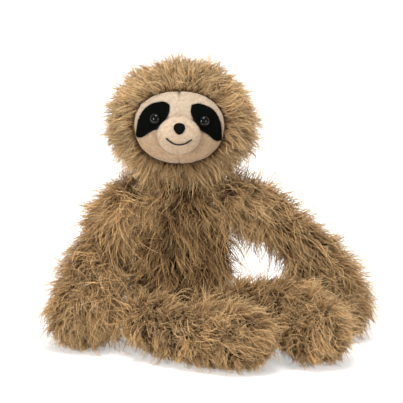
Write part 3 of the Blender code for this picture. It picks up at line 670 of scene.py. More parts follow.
def torso_lay(roots, ways):
    down = GRAVITY - ways * (ways @ GRAVITY)[:, None]
    collar = np.clip((roots[:, 2] - COLLAR_FOOT) / COLLAR_RISE, 0, 1) * np.abs(ways[:, 0])
    return unit(down) * (TORSO_LAY - COLLAR_LIFT * collar)[:, None]


def torso_lengths(roots, ways):
    high = np.clip((roots[:, 2] - SHOULDER_FOOT) / SHOULDER_RISE, 0, 1)
    sideways = np.abs(ways[:, 0])
    full = TORSO_LENGTH + SIDE_EXTRA * sideways + SHOULDER_EXTRA * high * sideways
    return np.where(ways[:, 2] < SEAT_SLOPE, SEAT_LENGTH, full)


def on_front(place, way):
    return (place[:, 1] < 0) & (way[:, 2] > UNDERSIDE_SLOPE)


def on_back(place, way):
    return (place[:, 1] > 0) & (way[:, 2] > UNDERSIDE_SLOPE)


def on_collar(place, way):
    return (place[:, 2] > COLLAR_LOWEST) & (np.abs(way[:, 0]) > COLLAR_SIDE)


torso_growths = {
    "torso_fur_front": (TORSO_HAIRS, 11, chest_pile_painted_shade, on_front),
    "torso_fur_back": (TORSO_HAIRS, 12, chest_pile_painted_shade, on_back),
    "torso_fur_collar": (COLLAR_HAIRS, 13, body_pile, on_collar),
}
for name, (count, seed, pile, keep) in torso_growths.items():
    fur = grow_fur(name, torso_cloth, count, seed, keep, torso_lay, torso_lengths, TORSO_SHAPE, pile)
    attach(fur, "torso")
    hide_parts("torso_skin")

# Head fur: the head has a paler copy of the body's pile, painted light for the stronger light that falls on
# the head.
# It parts round the face and stands out from it all round, widest at the cheeks, and a longer ruff hangs
# from under the chin over the chest.
HEAD_HAIRS = 9000
HEAD_SHAPE = (0.95, 0.30, 0.20, 0.26, 0.08)
HEAD_LENGTH, OUTER_EXTRA = 0.0125, 0.0110
RUFF_EXTRA, CHEEK_EXTRA = 0.0120, 0.0028
TOP_CUT = 0.22
OUTER_FADE = 0.45
RUFF_START, RUFF_FADE = 0.010, 0.022
CHEEK_START, CHEEK_FULL, CHEEK_NARROWNESS = 0.010, 0.012, 1.5
FRONT_START, FRONT_FADE = 0.02, 0.05
OUTWARD_LAY, FRONT_OUTWARD_EXTRA = 0.25, 0.55
DOWN_LAY, FRONT_DOWN_CUT, CHEEK_DOWN_CUT = 0.45, 0.30, 0.75
PARTING_SHIFT = 0.008
FACE_EDGE_SHARE = 0.965
FACE_ROUNDNESS = 2.25
# Painted light: a paler copy of the body's pile, for the stronger light that falls on the head.
head_pile_painted_light = fur_material(
    "head_pile_painted_light", (0.190, 0.103, 0.043), (0.500, 0.308, 0.140), (0.762, 0.524, 0.266), (0.830, 0.650, 0.400)
)
head_low, head_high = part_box("head_skin")
head_middle = np.array((head_low + head_high) / 2)
face_low, face_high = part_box("face_panel")
face_middle = np.array((face_low + face_high) / 2)
face_half = np.array((face_high - face_low) / 2)


def face_share(place):
    """How far out a place is from the face's middle, where 1 is the face's edge."""
    across = np.abs((place[:, 0] - face_middle[0]) / face_half[0])
    up = np.abs((place[:, 2] - face_middle[2]) / face_half[2])
    return (across**FACE_ROUNDNESS + up**FACE_ROUNDNESS) ** (1 / FACE_ROUNDNESS)


def smooth_step(low, high, value):
    share = np.clip((value - low) / (high - low), 0, 1)
    return share * share * (3 - 2 * share)


def off_face(place, way):
    return (place[:, 1] > head_middle[1]) | (face_share(place) > FACE_EDGE_SHARE)


def cheek_share(roots, ways):
    """1 at the head's lower sides, where the pile stands out widest."""
    low = smooth_step(face_high.z - CHEEK_START, face_middle[2] - CHEEK_FULL, roots[:, 2])
    return low * np.abs(ways[:, 0]) ** CHEEK_NARROWNESS


def head_lay(roots, ways):
    outward = np.stack(
        [roots[:, 0] - face_middle[0], np.zeros(len(roots)), roots[:, 2] - face_middle[2]], axis=1
    )
    outward = unit(outward)
    front = np.clip((head_middle[1] + FRONT_START - roots[:, 1]) / FRONT_FADE, 0, 1)[:, None]
    outward = outward - ways * (outward * ways).sum(1)[:, None]
    down = GRAVITY - ways * (ways @ GRAVITY)[:, None]
    cheek = cheek_share(roots, ways)[:, None]
    outward = outward * (OUTWARD_LAY + FRONT_OUTWARD_EXTRA * front)
    return outward + down * (DOWN_LAY - FRONT_DOWN_CUT * front) * (1 - CHEEK_DOWN_CUT * cheek)


def head_lengths(roots, ways):
    share = face_share(roots)
    front = roots[:, 1] < head_middle[1]
    near = np.where(front, np.clip((share - 1.0) / OUTER_FADE, 0, 1), 1.0)
    under = np.clip((face_low.z + RUFF_START - roots[:, 2]) / RUFF_FADE, 0, 1)
    top = np.clip((roots[:, 2] - head_middle[2]) / (head_high.z - head_middle[2]), 0, 1)
    cheek = cheek_share(roots, ways)
    full = HEAD_LENGTH + OUTER_EXTRA * near + RUFF_EXTRA * under + CHEEK_EXTRA * cheek
    return full * (1 - TOP_CUT * top)


def on_head_front(place, way):
    return (place[:, 1] - head_middle[1] + PARTING_SHIFT < 0) & off_face(place, way)


def on_head_back(place, way):
    return (place[:, 1] - head_middle[1] + PARTING_SHIFT > 0) & off_face(place, way)


for name, seed, keep in (("head_fur_front", 21, on_head_front), ("head_fur_back", 22, on_head_back)):
    fur = grow_fur(name, head_cloth, HEAD_HAIRS, seed, keep, head_lay, head_lengths, HEAD_SHAPE, head_pile_painted_light)
    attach(fur, "head")
    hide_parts("head_skin")

# Limb fur: the sleeves' pile, shaggy all round. It leans towards the hand or foot, droops off the underside,
# is pressed short near the floor, and stands up thickly where an arm meets the shoulder.
LIMB_HAIRS = 5150
LIMB_SHAPE = (0.78, 0.40, 0.42, 0.36, 0.11)
LEG_LENGTH, LEG_FLOOR_CUT, LEG_TOP_CUT = 0.0235, 0.0130, 0.0020
ARM_LENGTH, ARM_FLOOR_CUT, ARM_TOP_CUT = 0.0255, 0.0135, 0.0025
FLOOR_PILE_HEIGHT, FLOOR_PILE_FADE = 0.040, 0.035
ARM_ROOT_REACH = 0.045
LIMB_LAY, ROOT_LIFT = 0.72, 0.44
BEND_FADE, ROOT_FADE, ROOT_FULL = 0.02, 0.03, 1.2
ROOT_DOWN, ROOT_ALONG, ROOT_FORWARD = 0.5, 0.5, 0.8
SHOULDER_HAIRS = 1800
SHOULDER_REACH = 0.027
ARM_INNER_LENGTHS = {"right_arm": 0.0150, "left_arm": 0.0020}
ARM_ROOT_LENGTHS = {"right_arm": -0.0035, "left_arm": 0.0040}


def limb_lay(limb):
    root, bend, end = (np.array(place) for place in limb_line(limb))

    def lay(roots, ways):
        upper = unit(bend - root)
        lower = unit(end - bend)
        past = np.clip(((roots - bend) @ unit(upper + lower)) / BEND_FADE + 0.5, 0, 1)[:, None]
        along = upper * (1 - past) + lower * past
        from_root = np.linalg.norm(roots - root, axis=1) / ROOT_FADE
        near_root = np.clip(ROOT_FULL - from_root, 0, 1)[:, None]
        root_way = GRAVITY * ROOT_DOWN + upper * ROOT_ALONG + FORWARD * ROOT_FORWARD
        along = along * (1 - near_root) + root_way * near_root
        along = along - ways * (ways * along).sum(1)[:, None]
        return along * (LIMB_LAY - ROOT_LIFT * near_root)

    return lay


def limb_lengths(limb):
    root = np.array(limb_line(limb)[0])
    arm = limb.endswith("arm")
    inner_length = ARM_INNER_LENGTHS.get(limb, 0)
    root_length = ARM_ROOT_LENGTHS.get(limb, 0)

    def lengths(roots, ways):
        low = np.clip((FLOOR_PILE_HEIGHT - roots[:, 2]) / FLOOR_PILE_FADE, 0, 1)
        up = np.clip(ways[:, 2], 0, 1)
        if not arm:
            return LEG_LENGTH - LEG_FLOOR_CUT * low - LEG_TOP_CUT * up
        near_root = np.clip(1 - np.linalg.norm(roots - root, axis=1) / ARM_ROOT_REACH, 0, 1)
        inner = np.clip(-ways[:, 0] * np.sign(root[0]), 0, 1) * (1 - low)
        extra = root_length * near_root + inner_length * inner
        return ARM_LENGTH - ARM_FLOOR_CUT * low - ARM_TOP_CUT * up * (1 - near_root) + extra

    return lengths


for seed, limb in enumerate(limbs, 31):
    root, bend, end = (np.array(place) for place in limb_line(limb))
    middle = (bend + end) / 2
    whole = unit(end - root)
    limb_growths = {
        "upper": (LIMB_HAIRS, seed * 10 - 1, lambda place, way: (place - middle) @ whole < 0),
        "lower": (LIMB_HAIRS, seed * 10 + 1, lambda place, way: (place - middle) @ whole > 0),
    }
    if limb.endswith("arm"):
        limb_growths["shoulder"] = (
            SHOULDER_HAIRS,
            seed * 10 + 2,
            lambda place, way: np.linalg.norm(place - root, axis=1) < SHOULDER_REACH,
        )
    lay, lengths = limb_lay(limb), limb_lengths(limb)
    for part, (count, part_seed, keep) in limb_growths.items():
        name = limb + "_fur_" + part
        fur = grow_fur(name, sleeves[limb], count, part_seed, keep, lay, lengths, LIMB_SHAPE, body_pile)
        bend_limb(fur, limb)
        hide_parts(*limbs[limb][2:4])

# Face panel: short-pile velour, cut in two halves that meet in a seam at the forehead and the chin.
# It is sewn into the fur's window, so its edge turns in under the pile all round.
PANEL_VOXEL = 0.0007
SEAM_WIDTH = 0.0011
SEAM_DEPTH = 0.0007
NOTCH_LENGTH = 0.0045
EDGE_TUCK, TUCK_START = 0.0030, 0.84
GROOVE_PLACE, GROOVE_WIDTH, GROOVE_SHARE = 1.03, 0.05, 0.5
SEAM_SHADE, NOTCH_SHADE, GROOVE_SHADE = 0.08, 0.85, 0.16
EDGE_SHADE, EDGE_SHADE_START, EDGE_SHADE_END = 0.85, 0.96, 1.03
LOW_SHADE_START, LOW_SHADE_END = 0.012, 0.016


def fine_copy(name, node_name, voxel, smoothing=4):
    """A copy of a solid, remeshed finely and smoothed, to be shaped further."""
    piece = solid_copy(name, node_name)
    add_modifier(piece, "REMESH", mode="VOXEL", voxel_size=voxel, adaptivity=0.0)
    add_modifier(piece, "SMOOTH", factor=0.5, iterations=smoothing)
    piece.data.shade_smooth()
    return piece


def mix_colours(tree, first, second, factor, mode="MIX"):
    """A Mix node on colours: first is a node output, second a colour, factor a node output."""
    mix = tree.nodes.new("ShaderNodeMix")
    mix.data_type = "RGBA"
    mix.blend_type = mode
    tree.links.new(factor, mix.inputs[0])
    tree.links.new(first, mix.inputs[6])
    mix.inputs[7].default_value = (*second, 1.0)
    return mix.outputs[2]


def velour_material(name, light, dark, seam=(0.230, 0.140, 0.085)):
    """Short velour: mottled cream, with painted shade that makes it darker and yellower towards the chin and
    dark in its creases.
    """
    made, tree, shader = node_material(name, 0.85, 0.15, 0.3)
    shader.inputs["Sheen Roughness"].default_value = 0.45
    ramp = ramp_node(tree, (0.38, dark), (0.62, light))
    link_nodes(tree, noise_node(tree, 420.0, 5.0, 0.7), "Fac", ramp, "Fac")
    broad = noise_node(tree, 45.0, 2.0)
    warm = mix_colours(tree, ramp.outputs["Color"], (0.94, 0.88, 0.83), broad.outputs["Fac"], "MULTIPLY")
    # Painted shade: the low share darkens and yellows the velour towards the chin.
    low = attribute_node(tree, "low")
    shaded = mix_colours(tree, warm, (0.93, 0.81, 0.69), low.outputs["Fac"], "MULTIPLY")
    # Painted shade: the crease share mixes in the dark seam colour where shade falls in grooves and at the
    # edge.
    crease_shade = attribute_node(tree, "crease_shade")
    tree.links.new(mix_colours(tree, shaded, seam, crease_shade.outputs["Fac"]), shader.inputs["Base Color"])
    bump_from(tree, noise_node(tree, 2600.0, 3.0, 0.6), "Fac", shader, 0.55, 0.0004)
    return made


def set_share(piece, name, values):
    """A share from 0 to 1 at each point, for the material to read."""
    made = piece.data.attributes.new(name, "FLOAT", "POINT")
    made.data.foreach_set("value", np.clip(values, 0, 1).astype(np.float32))


face_velour = velour_material("face_velour", (0.668, 0.562, 0.432), (0.530, 0.405, 0.292))
muzzle_low, muzzle_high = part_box("muzzle")
muzzle_middle = np.array((muzzle_low + muzzle_high) / 2)
muzzle_half = np.array((muzzle_high - muzzle_low) / 2)


def muzzle_share(points):
    """How far out a point is from the muzzle's middle, where 1 is the muzzle's edge."""
    across = (points[:, 0] - muzzle_middle[0]) / muzzle_half[0]
    up = (points[:, 2] - muzzle_middle[2]) / muzzle_half[2]
    return np.sqrt(across**2 + up**2)


face_cloth = fine_copy("face_cloth", "face_panel", PANEL_VOXEL)
shape = points_of(face_cloth)
from_seam = np.abs(shape[:, 0] - face_middle[0])
seam_line = np.exp(-((from_seam / SEAM_WIDTH) ** 2))
edge = smooth_step(TUCK_START, 1.0, face_share(shape))
round_muzzle = np.exp(-(((muzzle_share(shape) - GROOVE_PLACE) / GROOVE_WIDTH) ** 2))
shape[:, 1] += SEAM_DEPTH * seam_line + EDGE_TUCK * edge**2 + GROOVE_SHARE * SEAM_DEPTH * round_muzzle
set_points(face_cloth, shape)
# Painted shade along the seam, at its notches by forehead and chin, at the tucked edge and in the groove
# round the muzzle.
notch = np.exp(-(np.minimum(shape[:, 2] - face_low.z, face_high.z - shape[:, 2]) / NOTCH_LENGTH) ** 2)
edge_shade = EDGE_SHADE * smooth_step(EDGE_SHADE_START, EDGE_SHADE_END, face_share(shape))
crease_shade = seam_line * (SEAM_SHADE + NOTCH_SHADE * notch) + edge_shade + GROOVE_SHADE * round_muzzle
set_share(face_cloth, "crease_shade", crease_shade)
# Painted shade: the panel gets darker and yellower towards the chin.
painted_low_shade = smooth_step(face_high.z - LOW_SHADE_START, face_low.z + LOW_SHADE_END, shape[:, 2])
set_share(face_cloth, "low", painted_low_shade)
face_cloth.data.materials.append(face_velour)
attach(face_cloth, "head")
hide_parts("face_panel")

# Muzzle: a round pad of velour, stuffed to a low dome. Its velour is a lighter, warmer copy of the panel's,
# painted light that offsets the shade it sits in.
# It is sewn on round its edge, and a dart seam runs from the mouth down to that edge.
DART_START, DART_FADE = 0.006, 0.003
DART_SHADE = 0.12
RIM_SHADE, RIM_START = 0.22, 0.95
MUZZLE_LOW_SHADE, CHIN_LOW_SHADE = 0.02, 0.28
# Painted light: the panel's velour made lighter and warmer, offsetting the shade on the muzzle.
muzzle_velour_painted_light = velour_material("muzzle_velour_painted_light", (0.728, 0.588, 0.434), (0.578, 0.424, 0.294))
muzzle_cloth = fine_copy("muzzle_cloth", "muzzle", PANEL_VOXEL)
shape = points_of(muzzle_cloth)
below_mouth = smooth_step(0.0, DART_FADE, muzzle_middle[2] - DART_START - shape[:, 2])
dart = np.exp(-(((shape[:, 0] - muzzle_middle[0]) / SEAM_WIDTH) ** 2)) * below_mouth
front = shape[:, 1] < muzzle_middle[1]
shape[:, 1] += np.where(front, SEAM_DEPTH * dart, 0)
set_points(muzzle_cloth, shape)
# Painted shade along the dart and round the muzzle's rim.
crease_shade = DART_SHADE * dart + RIM_SHADE * smooth_step(RIM_START, 1.0, muzzle_share(shape))
set_share(muzzle_cloth, "crease_shade", crease_shade)
# Painted shade: the muzzle is a little darker throughout, and darker still towards the chin.
painted_low_shade = MUZZLE_LOW_SHADE + CHIN_LOW_SHADE * smooth_step(muzzle_high.z, muzzle_low.z, shape[:, 2])
set_share(muzzle_cloth, "low", painted_low_shade)
muzzle_cloth.data.materials.append(muzzle_velour_painted_light)
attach(muzzle_cloth, "head")
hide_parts("muzzle")

# Eye patches: two teardrops of black felt, cut by hand so that they aren't quite alike.
# They lie on the face panel, and close satin stitches in black thread sew their edges down.
PATCH_VOXEL = 0.00045
STITCH_COUNT = 84
STITCH_LENGTH = 0.0017
STITCH_RADIUS = 0.00026
STITCH_BANDS = ((-1.0, 0.35), (-0.55, 0.9), (0.0, 1.0), (0.55, 0.9), (1.0, 0.35))
STITCH_SIDES = 6
STITCH_SCATTER, STITCH_LIFT = (-0.0003, 0.0007), 0.0002
STITCH_SLANT, STITCH_SPREAD = 0.25, 0.12
EDGE_WINDOW, EDGE_SMOOTHING = 3.2, 2


def felt_material(name, dark, light, grain):
    """Felt or close-stitched cloth: nearly one colour, with a matted grain."""
    made, tree, shader = node_material(name, 0.9, 0.02)
    colour_by(tree, shader, noise_node(tree, grain, 5.0, 0.7), "Fac", (0.35, dark), (0.75, light))
    bump_from(tree, noise_node(tree, grain * 3, 3.0, 0.6), "Fac", shader, 0.7, 0.0003)
    return made


def wave_node(tree, direction, scale, distortion):
    """Waves across the piece's Object coordinates."""
    place = tree.nodes.new("ShaderNodeTexCoord")
    wave = tree.nodes.new("ShaderNodeTexWave")
    wave.bands_direction = direction
    wave.inputs["Scale"].default_value = scale
    wave.inputs["Distortion"].default_value = distortion
    link_nodes(tree, place, "Object", wave, "Vector")
    return wave


def thread_material(name, dark, light, roughness):
    """Polyester thread, with the fine bands of its twist."""
    made, tree, shader = node_material(name, roughness, 0.35, 0.15)
    wave = wave_node(tree, "DIAGONAL", 900.0, 1.5)
    colour_by(tree, shader, wave, "Fac", (0.2, dark), (0.9, light))
    bump_from(tree, wave, "Fac", shader, 0.5, 0.0002)
    return made


black_felt = felt_material("black_felt", (0.0016, 0.0020, 0.0015), (0.0060, 0.0068, 0.0054), 900.0)
black_thread = thread_material("black_thread", (0.002, 0.002, 0.002), (0.009, 0.008, 0.008), 0.6)


def edge_loop(piece, count):
    """Places and ways out along a flat piece's edge, seen from the front."""
    points = points_of(piece)
    middle = points.mean(0)
    flat = points[:, [0, 2]] - middle[[0, 2]]
    angle = np.arctan2(flat[:, 1], flat[:, 0])
    apart = np.linalg.norm(flat, axis=1)
    places = []
    for step in range(count):
        turn = 2 * math.pi * step / count - math.pi
        aside = np.abs((angle - turn + math.pi) % (2 * math.pi) - math.pi)
        near = aside < EDGE_WINDOW * math.pi / count
        chosen = np.where(near)[0]
        places.append(points[chosen[apart[chosen].argmax()]])
    places = np.array(places)
    for _ in range(EDGE_SMOOTHING):
        places = (np.roll(places, 1, 0) + 2 * places + np.roll(places, -1, 0)) / 4
    along = unit(np.roll(places, -1, 0) - np.roll(places, 1, 0))
    return places, along, middle


def stitch_mesh(name, centres, ways, tops):
    """Short rounded stitches: each lies along its way, with its top turned to the front."""
    rows, faces = [], []
    for centre, way, top in zip(centres, ways, tops):
        side = unit(np.cross(way, top))
        base = len(rows)
        for share, width in STITCH_BANDS:
            for step in range(STITCH_SIDES):
                turn = 2 * math.pi * step / STITCH_SIDES
                ring = side * math.cos(turn) + top * math.sin(turn)
                rows.append(centre + way * (share * STITCH_LENGTH / 2) + ring * (STITCH_RADIUS * width))
        for band in range(len(STITCH_BANDS) - 1):
            for step in range(STITCH_SIDES):
                low, after = base + band * STITCH_SIDES, (step + 1) % STITCH_SIDES
                high = low + STITCH_SIDES
                faces.append((low + step, high + step, high + after, low + after))
        faces.append([base + step for step in range(STITCH_SIDES)])
        last = base + (len(STITCH_BANDS) - 1) * STITCH_SIDES
        faces.append([last + step for step in reversed(range(STITCH_SIDES))])
    mesh = bpy.data.meshes.new(name)
    mesh.from_pydata([tuple(row) for row in rows], [], faces)
    mesh.update()
    piece = new_object(name, mesh)
    edit_whole(piece, bpy.ops.mesh.normals_make_consistent, inside=False)
    mesh.shade_smooth()
    return piece


for side, seed in (("right", 51), ("left", 52)):
    patch = fine_copy(side + "_patch_felt", side + "_eye_patch", PATCH_VOXEL, 3)
    patch.data.materials.append(black_felt)
    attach(patch, "head")
    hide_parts(side + "_eye_patch")
    places, along, middle = edge_loop(patch, STITCH_COUNT)
    outward = unit(places - head_middle)
    inward = unit(np.cross(along, outward))
    inward = inward * np.sign((inward * (middle - places)).sum(1))[:, None]
    random = np.random.RandomState(seed)
    centres = places + inward * random.uniform(*STITCH_SCATTER, (STITCH_COUNT, 1)) + outward * STITCH_LIFT
    slant = unit(inward + along * STITCH_SLANT + random.normal(0, STITCH_SPREAD, (STITCH_COUNT, 3)))
    stitches = stitch_mesh(side + "_patch_stitches", centres, slant, outward)
    stitches.data.materials.append(black_thread)
    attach(stitches, "head")

# Eyes: moulded black safety eyes with a polished dome. Each one's stem is pushed through patch and face,
# and a white moulded washer locks it from behind.
eye_gloss, tree, shader = node_material("eye_gloss", 0.03, 0.30)
black = (0.35, (0.0012, 0.0012, 0.0014)), (0.70, (0.0030, 0.0026, 0.0024))
colour_by(tree, shader, noise_node(tree, 300.0, 2.0), "Fac", *black)

washer_finish, tree, shader = node_material("washer_moulding", 0.42, 0.45)
milky = (0.3, (0.66, 0.65, 0.61)), (0.7, (0.74, 0.73, 0.70))
colour_by(tree, shader, noise_node(tree, 220.0, 3.0), "Fac", *milky)
bump_from(tree, noise_node(tree, 1800.0, 2.0), "Fac", shader, 0.15, 0.0002)


def finish_solid(node_name, finish):
    """Gives a solid that stays in sight its finish."""
    nodes[node_name].data.materials.clear()
    nodes[node_name].data.materials.append(finish)


for side in ("right", "left"):
    eye = solid_copy(side + "_eye_dome", side + "_eye")
    add_modifier(eye, "SUBSURF", levels=2, render_levels=2)
    eye.data.shade_smooth()
    eye.data.materials.append(eye_gloss)
    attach(eye, "head")
    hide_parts(side + "_eye")
    finish_solid(side + "_eye_washer", washer_finish)

# Nose: a small padded button of black cloth, sewn on at the top of the muzzle.
# It is worked over with upright satin stitches, which show as fine ribs.
NOSE_VOXEL = 0.00032
NOSE_RIB = 0.00075
NOSE_RIB_HEIGHT = 0.00012
nose_satin = felt_material("nose_satin", (0.004, 0.004, 0.004), (0.012, 0.012, 0.012), 1400.0)
nose_pad = fine_copy("nose_pad", "nose", NOSE_VOXEL, 6)
shape = points_of(nose_pad)
ways = normals_of(nose_pad)
rib = np.cos(2 * math.pi * shape[:, 0] / NOSE_RIB) * np.clip(-ways[:, 1], 0, 1)
set_points(nose_pad, shape + ways * (NOSE_RIB_HEIGHT * rib)[:, None])
nose_pad.data.materials.append(nose_satin)
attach(nose_pad, "head")
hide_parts("nose")

# Mouth: one line of black two-ply thread in a shallow smile across the muzzle.
# Both ends are drawn through the cloth at its corners.
MOUTH_STEPS = 90
MOUTH_DEGREE = 6
PLY_RADIUS = 0.00042
PLY_SWING = 0.00030
PLY_PITCH = 0.0018
PLY_MERGE_GAP = 0.000001
mouth_points = points_of(nodes["mouth_stitch"])
mouth_ends = mouth_points[:, 0].min() + PLY_RADIUS, mouth_points[:, 0].max() - PLY_RADIUS
mouth_x = np.linspace(*mouth_ends, MOUTH_STEPS)
mouth_y, mouth_z = (
    np.polyval(np.polyfit(mouth_points[:, 0], mouth_points[:, k], MOUTH_DEGREE), mouth_x) for k in (1, 2)
)
centre_line = np.stack([mouth_x, mouth_y, mouth_z], axis=1)
run = np.append(0, np.cumsum(np.linalg.norm(np.diff(centre_line, axis=0), axis=1)))
tangent = unit(np.gradient(centre_line, axis=0))
ply_side = unit(np.cross(tangent, [[0.0, -1.0, 0.0]]))
ply_front = np.cross(ply_side, tangent)
plies = []
for ply in (0, 1):
    turn = (2 * math.pi * run / PLY_PITCH + math.pi * ply)[:, None]
    line = centre_line + PLY_SWING * (ply_side * np.cos(turn) + ply_front * np.sin(turn))
    curve = bpy.data.curves.new(f"mouth_ply_{ply}", "CURVE")
    curve.dimensions = "3D"
    curve.bevel_depth = PLY_RADIUS
    curve.bevel_resolution = 2
    curve.use_fill_caps = True
    spline = curve.splines.new("POLY")
    spline.points.add(MOUTH_STEPS - 1)
    for knot, place in zip(spline.points, line):
        knot.co = (*place, 1.0)
    choose(new_object(f"mouth_ply_{ply}", curve))
    bpy.ops.object.convert(target="MESH")
    plies.append(bpy.context.view_layer.objects.active)
mouth_thread = join_pieces("mouth_thread", plies)
edit_whole(mouth_thread, bpy.ops.mesh.remove_doubles, threshold=PLY_MERGE_GAP)
edit_whole(mouth_thread, bpy.ops.mesh.normals_make_consistent, inside=False)
mouth_thread.data.shade_smooth()
mouth_thread.data.materials.clear()
mouth_thread.data.materials.append(black_thread)
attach(mouth_thread, "head")
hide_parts("mouth_stitch")

# Seam and closing threads: brown polyester thread, a little paler than the backing cloth.
# It holds the head and limbs to the torso, and a hand-sewn line of it shuts the back.
brown_thread = thread_material("brown_thread", (0.075, 0.042, 0.020), (0.170, 0.105, 0.055), 0.6)
thread_nodes = ["neck_seam", "closing_stitch"]
thread_nodes += [f"{side}_{root}_seam" for side in ("right", "left") for root in ("shoulder", "hip")]
for name in thread_nodes:
    finish_solid(name, brown_thread)

# Stuffing: loose polyester fibre in the torso, head and each stretch of the limbs, packed by hand.
# It fills its cloth and has a lumpy, tangled surface.
FIBRE_VOXEL = 0.0030
FIBRE_LUMP = 0.0009
FIBRE_SINK = 0.0008
LUMP_WAVES, LUMP_FINENESS, LUMP_PHASE = 4, 160.0, 6.0
FINER_EACH, FAINTER_EACH = 1.8, 1.4
fibre_mass, tree, shader = node_material("fibre_mass", 0.9, 0.2, 0.4)
white_wool = (0.3, (0.70, 0.69, 0.66)), (0.7, (0.88, 0.875, 0.85))
colour_by(tree, shader, noise_node(tree, 420.0, 6.0, 0.7), "Fac", *white_wool)
bump_from(tree, noise_node(tree, 1200.0, 5.0, 0.75), "Fac", shader, 0.8, 0.0009)
stuffed = {"torso_stuffing": "torso", "head_stuffing": "head"}
for upper_body, lower_body, upper_node, lower_node, _ in limbs.values():
    stuffed[upper_node + "_stuffing"] = upper_body
    stuffed[lower_node + "_stuffing"] = lower_body
for seed, (node_name, body) in enumerate(stuffed.items(), 71):
    batting = fine_copy(node_name.replace("stuffing", "fibre"), node_name, FIBRE_VOXEL, 2)
    shape, ways = points_of(batting), normals_of(batting)
    random = np.random.RandomState(seed)
    lump = np.zeros(len(shape))
    for wave in range(LUMP_WAVES):
        spin = random.normal(size=3) * LUMP_FINENESS * FINER_EACH**wave
        lump += np.sin(shape @ spin + random.uniform(0, LUMP_PHASE)) / FAINTER_EACH**wave
    sunk = FIBRE_SINK + FIBRE_LUMP * (0.5 + 0.25 * lump).clip(0, 1)
    set_points(batting, shape - ways * sunk[:, None])
    batting.data.materials.append(fibre_mass)
    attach(batting, body)
    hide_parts(node_name)

# Bean bag: a small bag of plain calico, filled with plastic beans and sewn shut round its middle.
# It lies in the seat of the torso and lets the toy sit up.
BAG_VOXEL = 0.0013
BEAN_COUNT = 420
BEAN_SIZE = 0.003
BEAN_DENT = 0.00035
BAG_SEAM_WIDTH, BAG_SEAM_DEPTH = 0.0009, 0.0006
calico, tree, shader = node_material("calico", 0.85, 0.2, 0.1)
warp, weft = (wave_node(tree, direction, 420.0, 0.6) for direction in ("X", "Z"))
crossed = math_node(tree, "MAXIMUM", warp.outputs["Fac"], weft.outputs["Fac"]).node
unbleached = (0.2, (0.46, 0.40, 0.31)), (0.9, (0.64, 0.58, 0.47))
colour_by(tree, shader, crossed, "Value", *unbleached)
bump_from(tree, crossed, "Value", shader, 0.5, 0.0003)
bag = fine_copy("bean_bag_calico", "bean_bag", BAG_VOXEL, 4)
shape, ways = points_of(bag), normals_of(bag)
bag_low, bag_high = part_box("bean_bag")
random = np.random.RandomState(90)
beans = random.uniform(np.array(bag_low), np.array(bag_high), (BEAN_COUNT, 3))
bean_near = np.sqrt(((shape[:, None, :] - beans[None, :, :]) ** 2).sum(-1).min(1))
sewn = np.exp(-(((shape[:, 2] - (bag_low.z + bag_high.z) / 2) / BAG_SEAM_WIDTH) ** 2))
dent = BEAN_DENT * np.clip(bean_near / BEAN_SIZE, 0, 1) + BAG_SEAM_DEPTH * sewn
set_points(bag, shape - ways * dent[:, None])
bag.data.materials.append(calico)
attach(bag, "torso")
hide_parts("bean_bag")

# Floor: a white painted table board that reaches well behind the toy and catches its shadow.
# To the eye it glows faintly, more so away from the toy, so that its far edge melts into the backdrop.
BOARD_SIZE = 1.9
BOARD_SHIFT = 0.60
GLOW_DISTANCES, GLOW_LEVELS = (0.30, 0.95), (0.47, 0.82)
bpy.ops.mesh.primitive_plane_add(size=BOARD_SIZE, location=(0.0, BOARD_SHIFT, 0.0))
floor = bpy.context.active_object
floor.name = "floor"
floor_finish, tree, shader = node_material("floor_paint", 0.9, 0.0)
white_paint = (0.4, (0.90, 0.90, 0.895)), (0.6, (0.91, 0.91, 0.905))
colour_by(tree, shader, noise_node(tree, 3.0, 2.0), "Fac", *white_paint)


def ray_kinds(tree):
    """Whether a ray comes straight from the eye, and whether by way of a gloss or a clear piece."""
    rays = tree.nodes.new("ShaderNodeLightPath").outputs
    mirrored = math_node(tree, "MAXIMUM", rays["Is Glossy Ray"], rays["Is Transmission Ray"])
    return rays["Is Camera Ray"], mirrored


seen = math_node(tree, "MAXIMUM", *ray_kinds(tree))
place = tree.nodes.new("ShaderNodeTexCoord")
from_toy = tree.nodes.new("ShaderNodeVectorMath")
from_toy.operation = "DISTANCE"
from_toy.inputs[1].default_value = (0.0, -BOARD_SHIFT, 0.0)
link_nodes(tree, place, "Object", from_toy, 0)
outward = range_node(tree, from_toy.outputs["Value"], GLOW_DISTANCES, GLOW_LEVELS)
glow = tree.nodes.new("ShaderNodeEmission")
glow.inputs["Color"].default_value = (1.0, 1.0, 0.995, 1.0)
tree.links.new(math_node(tree, "MULTIPLY", seen, outward), glow.inputs["Strength"])
added = tree.nodes.new("ShaderNodeAddShader")
link_nodes(tree, shader, "BSDF", added, 0)
link_nodes(tree, glow, "Emission", added, 1)
link_nodes(tree, added, "Shader", tree.nodes["Material Output"], "Surface")
floor.data.materials.append(floor_finish)

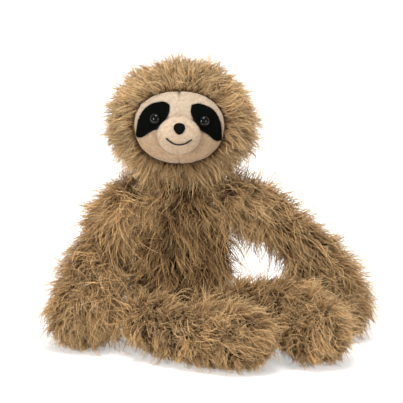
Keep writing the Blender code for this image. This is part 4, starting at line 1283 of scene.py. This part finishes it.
# Backdrop: plain white, as the eye sees it and as the gloss of the eyes mirrors it.
# It stands behind the toy only, and the room all round gives a dim even light.
BACKDROP_EDGE = 0.25
ROOM_LIGHT = 0.33
world = bpy.data.worlds.new("studio")
bpy.context.scene.world = world
world.use_nodes = True
tree = world.node_tree
back = tree.nodes["Background"]
back.inputs["Color"].default_value = (1.0, 1.0, 1.0, 1.0)
way = tree.nodes.new("ShaderNodeTexCoord")
parts = tree.nodes.new("ShaderNodeSeparateXYZ")
link_nodes(tree, way, "Generated", parts, "Vector")
behind = range_node(tree, parts.outputs["Y"], (0.0, BACKDROP_EDGE), (0.0, 1.0))
straight, mirrored = ray_kinds(tree)
seen = math_node(tree, "MAXIMUM", straight, math_node(tree, "MULTIPLY", mirrored, behind))
tree.links.new(range_node(tree, seen, (0.0, 1.0), (ROOM_LIGHT, 1.0)), back.inputs["Strength"])

# Lamps: a large soft box above, one at each side in front at the toy's own height, and one behind
# that lifts the pile's edges from the white.


def softbox(name, place, aim, size, power):
    """A square soft lamp that faces its aim."""
    light = bpy.data.lights.new(name, "AREA")
    light.shape = "SQUARE"
    light.size = size
    light.energy = power
    made = new_object(name, light)
    made.location = place
    made.rotation_euler = (Vector(aim) - Vector(place)).to_track_quat("-Z", "Y").to_euler()


chest = (0.0, 0.0, 0.12)
softbox("top_light", (0.05, -0.50, 1.45), chest, 0.50, 13.4)
softbox("left_light", (-1.00, -1.10, 0.36), chest, 0.30, 10.2)
softbox("right_light", (0.95, -1.15, 0.34), chest, 0.30, 4.5)
softbox("back_light", (0.10, 1.10, 0.90), chest, 0.60, 7.0)

# Camera: a long lens a little above the table, set so that a pixel of the photo is a fixed size at the toy.
# The photo's point (181, 342) is a place on the table, 6 mm in front of the toy's middle.
PIXEL = 0.00082
FOCAL_PIXELS = 7000.0
PHOTO_SIDE = 403
ELEVATION = math.radians(12.0)
POINT_X, POINT_Y = 181.0, 342.0
POINT_FORWARD = 0.006
SENSOR_WIDTH = 36.0
CENTRE_X = (PHOTO_SIDE / 2 - POINT_X) * PIXEL
CENTRE_UP = (POINT_Y - PHOTO_SIDE / 2) * PIXEL
target_height = (CENTRE_UP - POINT_FORWARD * math.sin(ELEVATION)) / math.cos(ELEVATION)
target = Vector((CENTRE_X, 0.0, target_height))
back_off = FOCAL_PIXELS * PIXEL
camera_data = bpy.data.cameras.new("camera")
camera_data.sensor_width = SENSOR_WIDTH
camera_data.lens = FOCAL_PIXELS / PHOTO_SIDE * SENSOR_WIDTH
camera = new_object("camera", camera_data)
camera.location = target + Vector((0.0, -math.cos(ELEVATION), math.sin(ELEVATION))) * back_off
camera.rotation_euler = (target - camera.location).to_track_quat("-Z", "Y").to_euler()
camera_data.clip_start, camera_data.clip_end = 0.1, 60.0
bpy.context.scene.camera = camera
bpy.context.scene.view_settings.view_transform = "Standard"
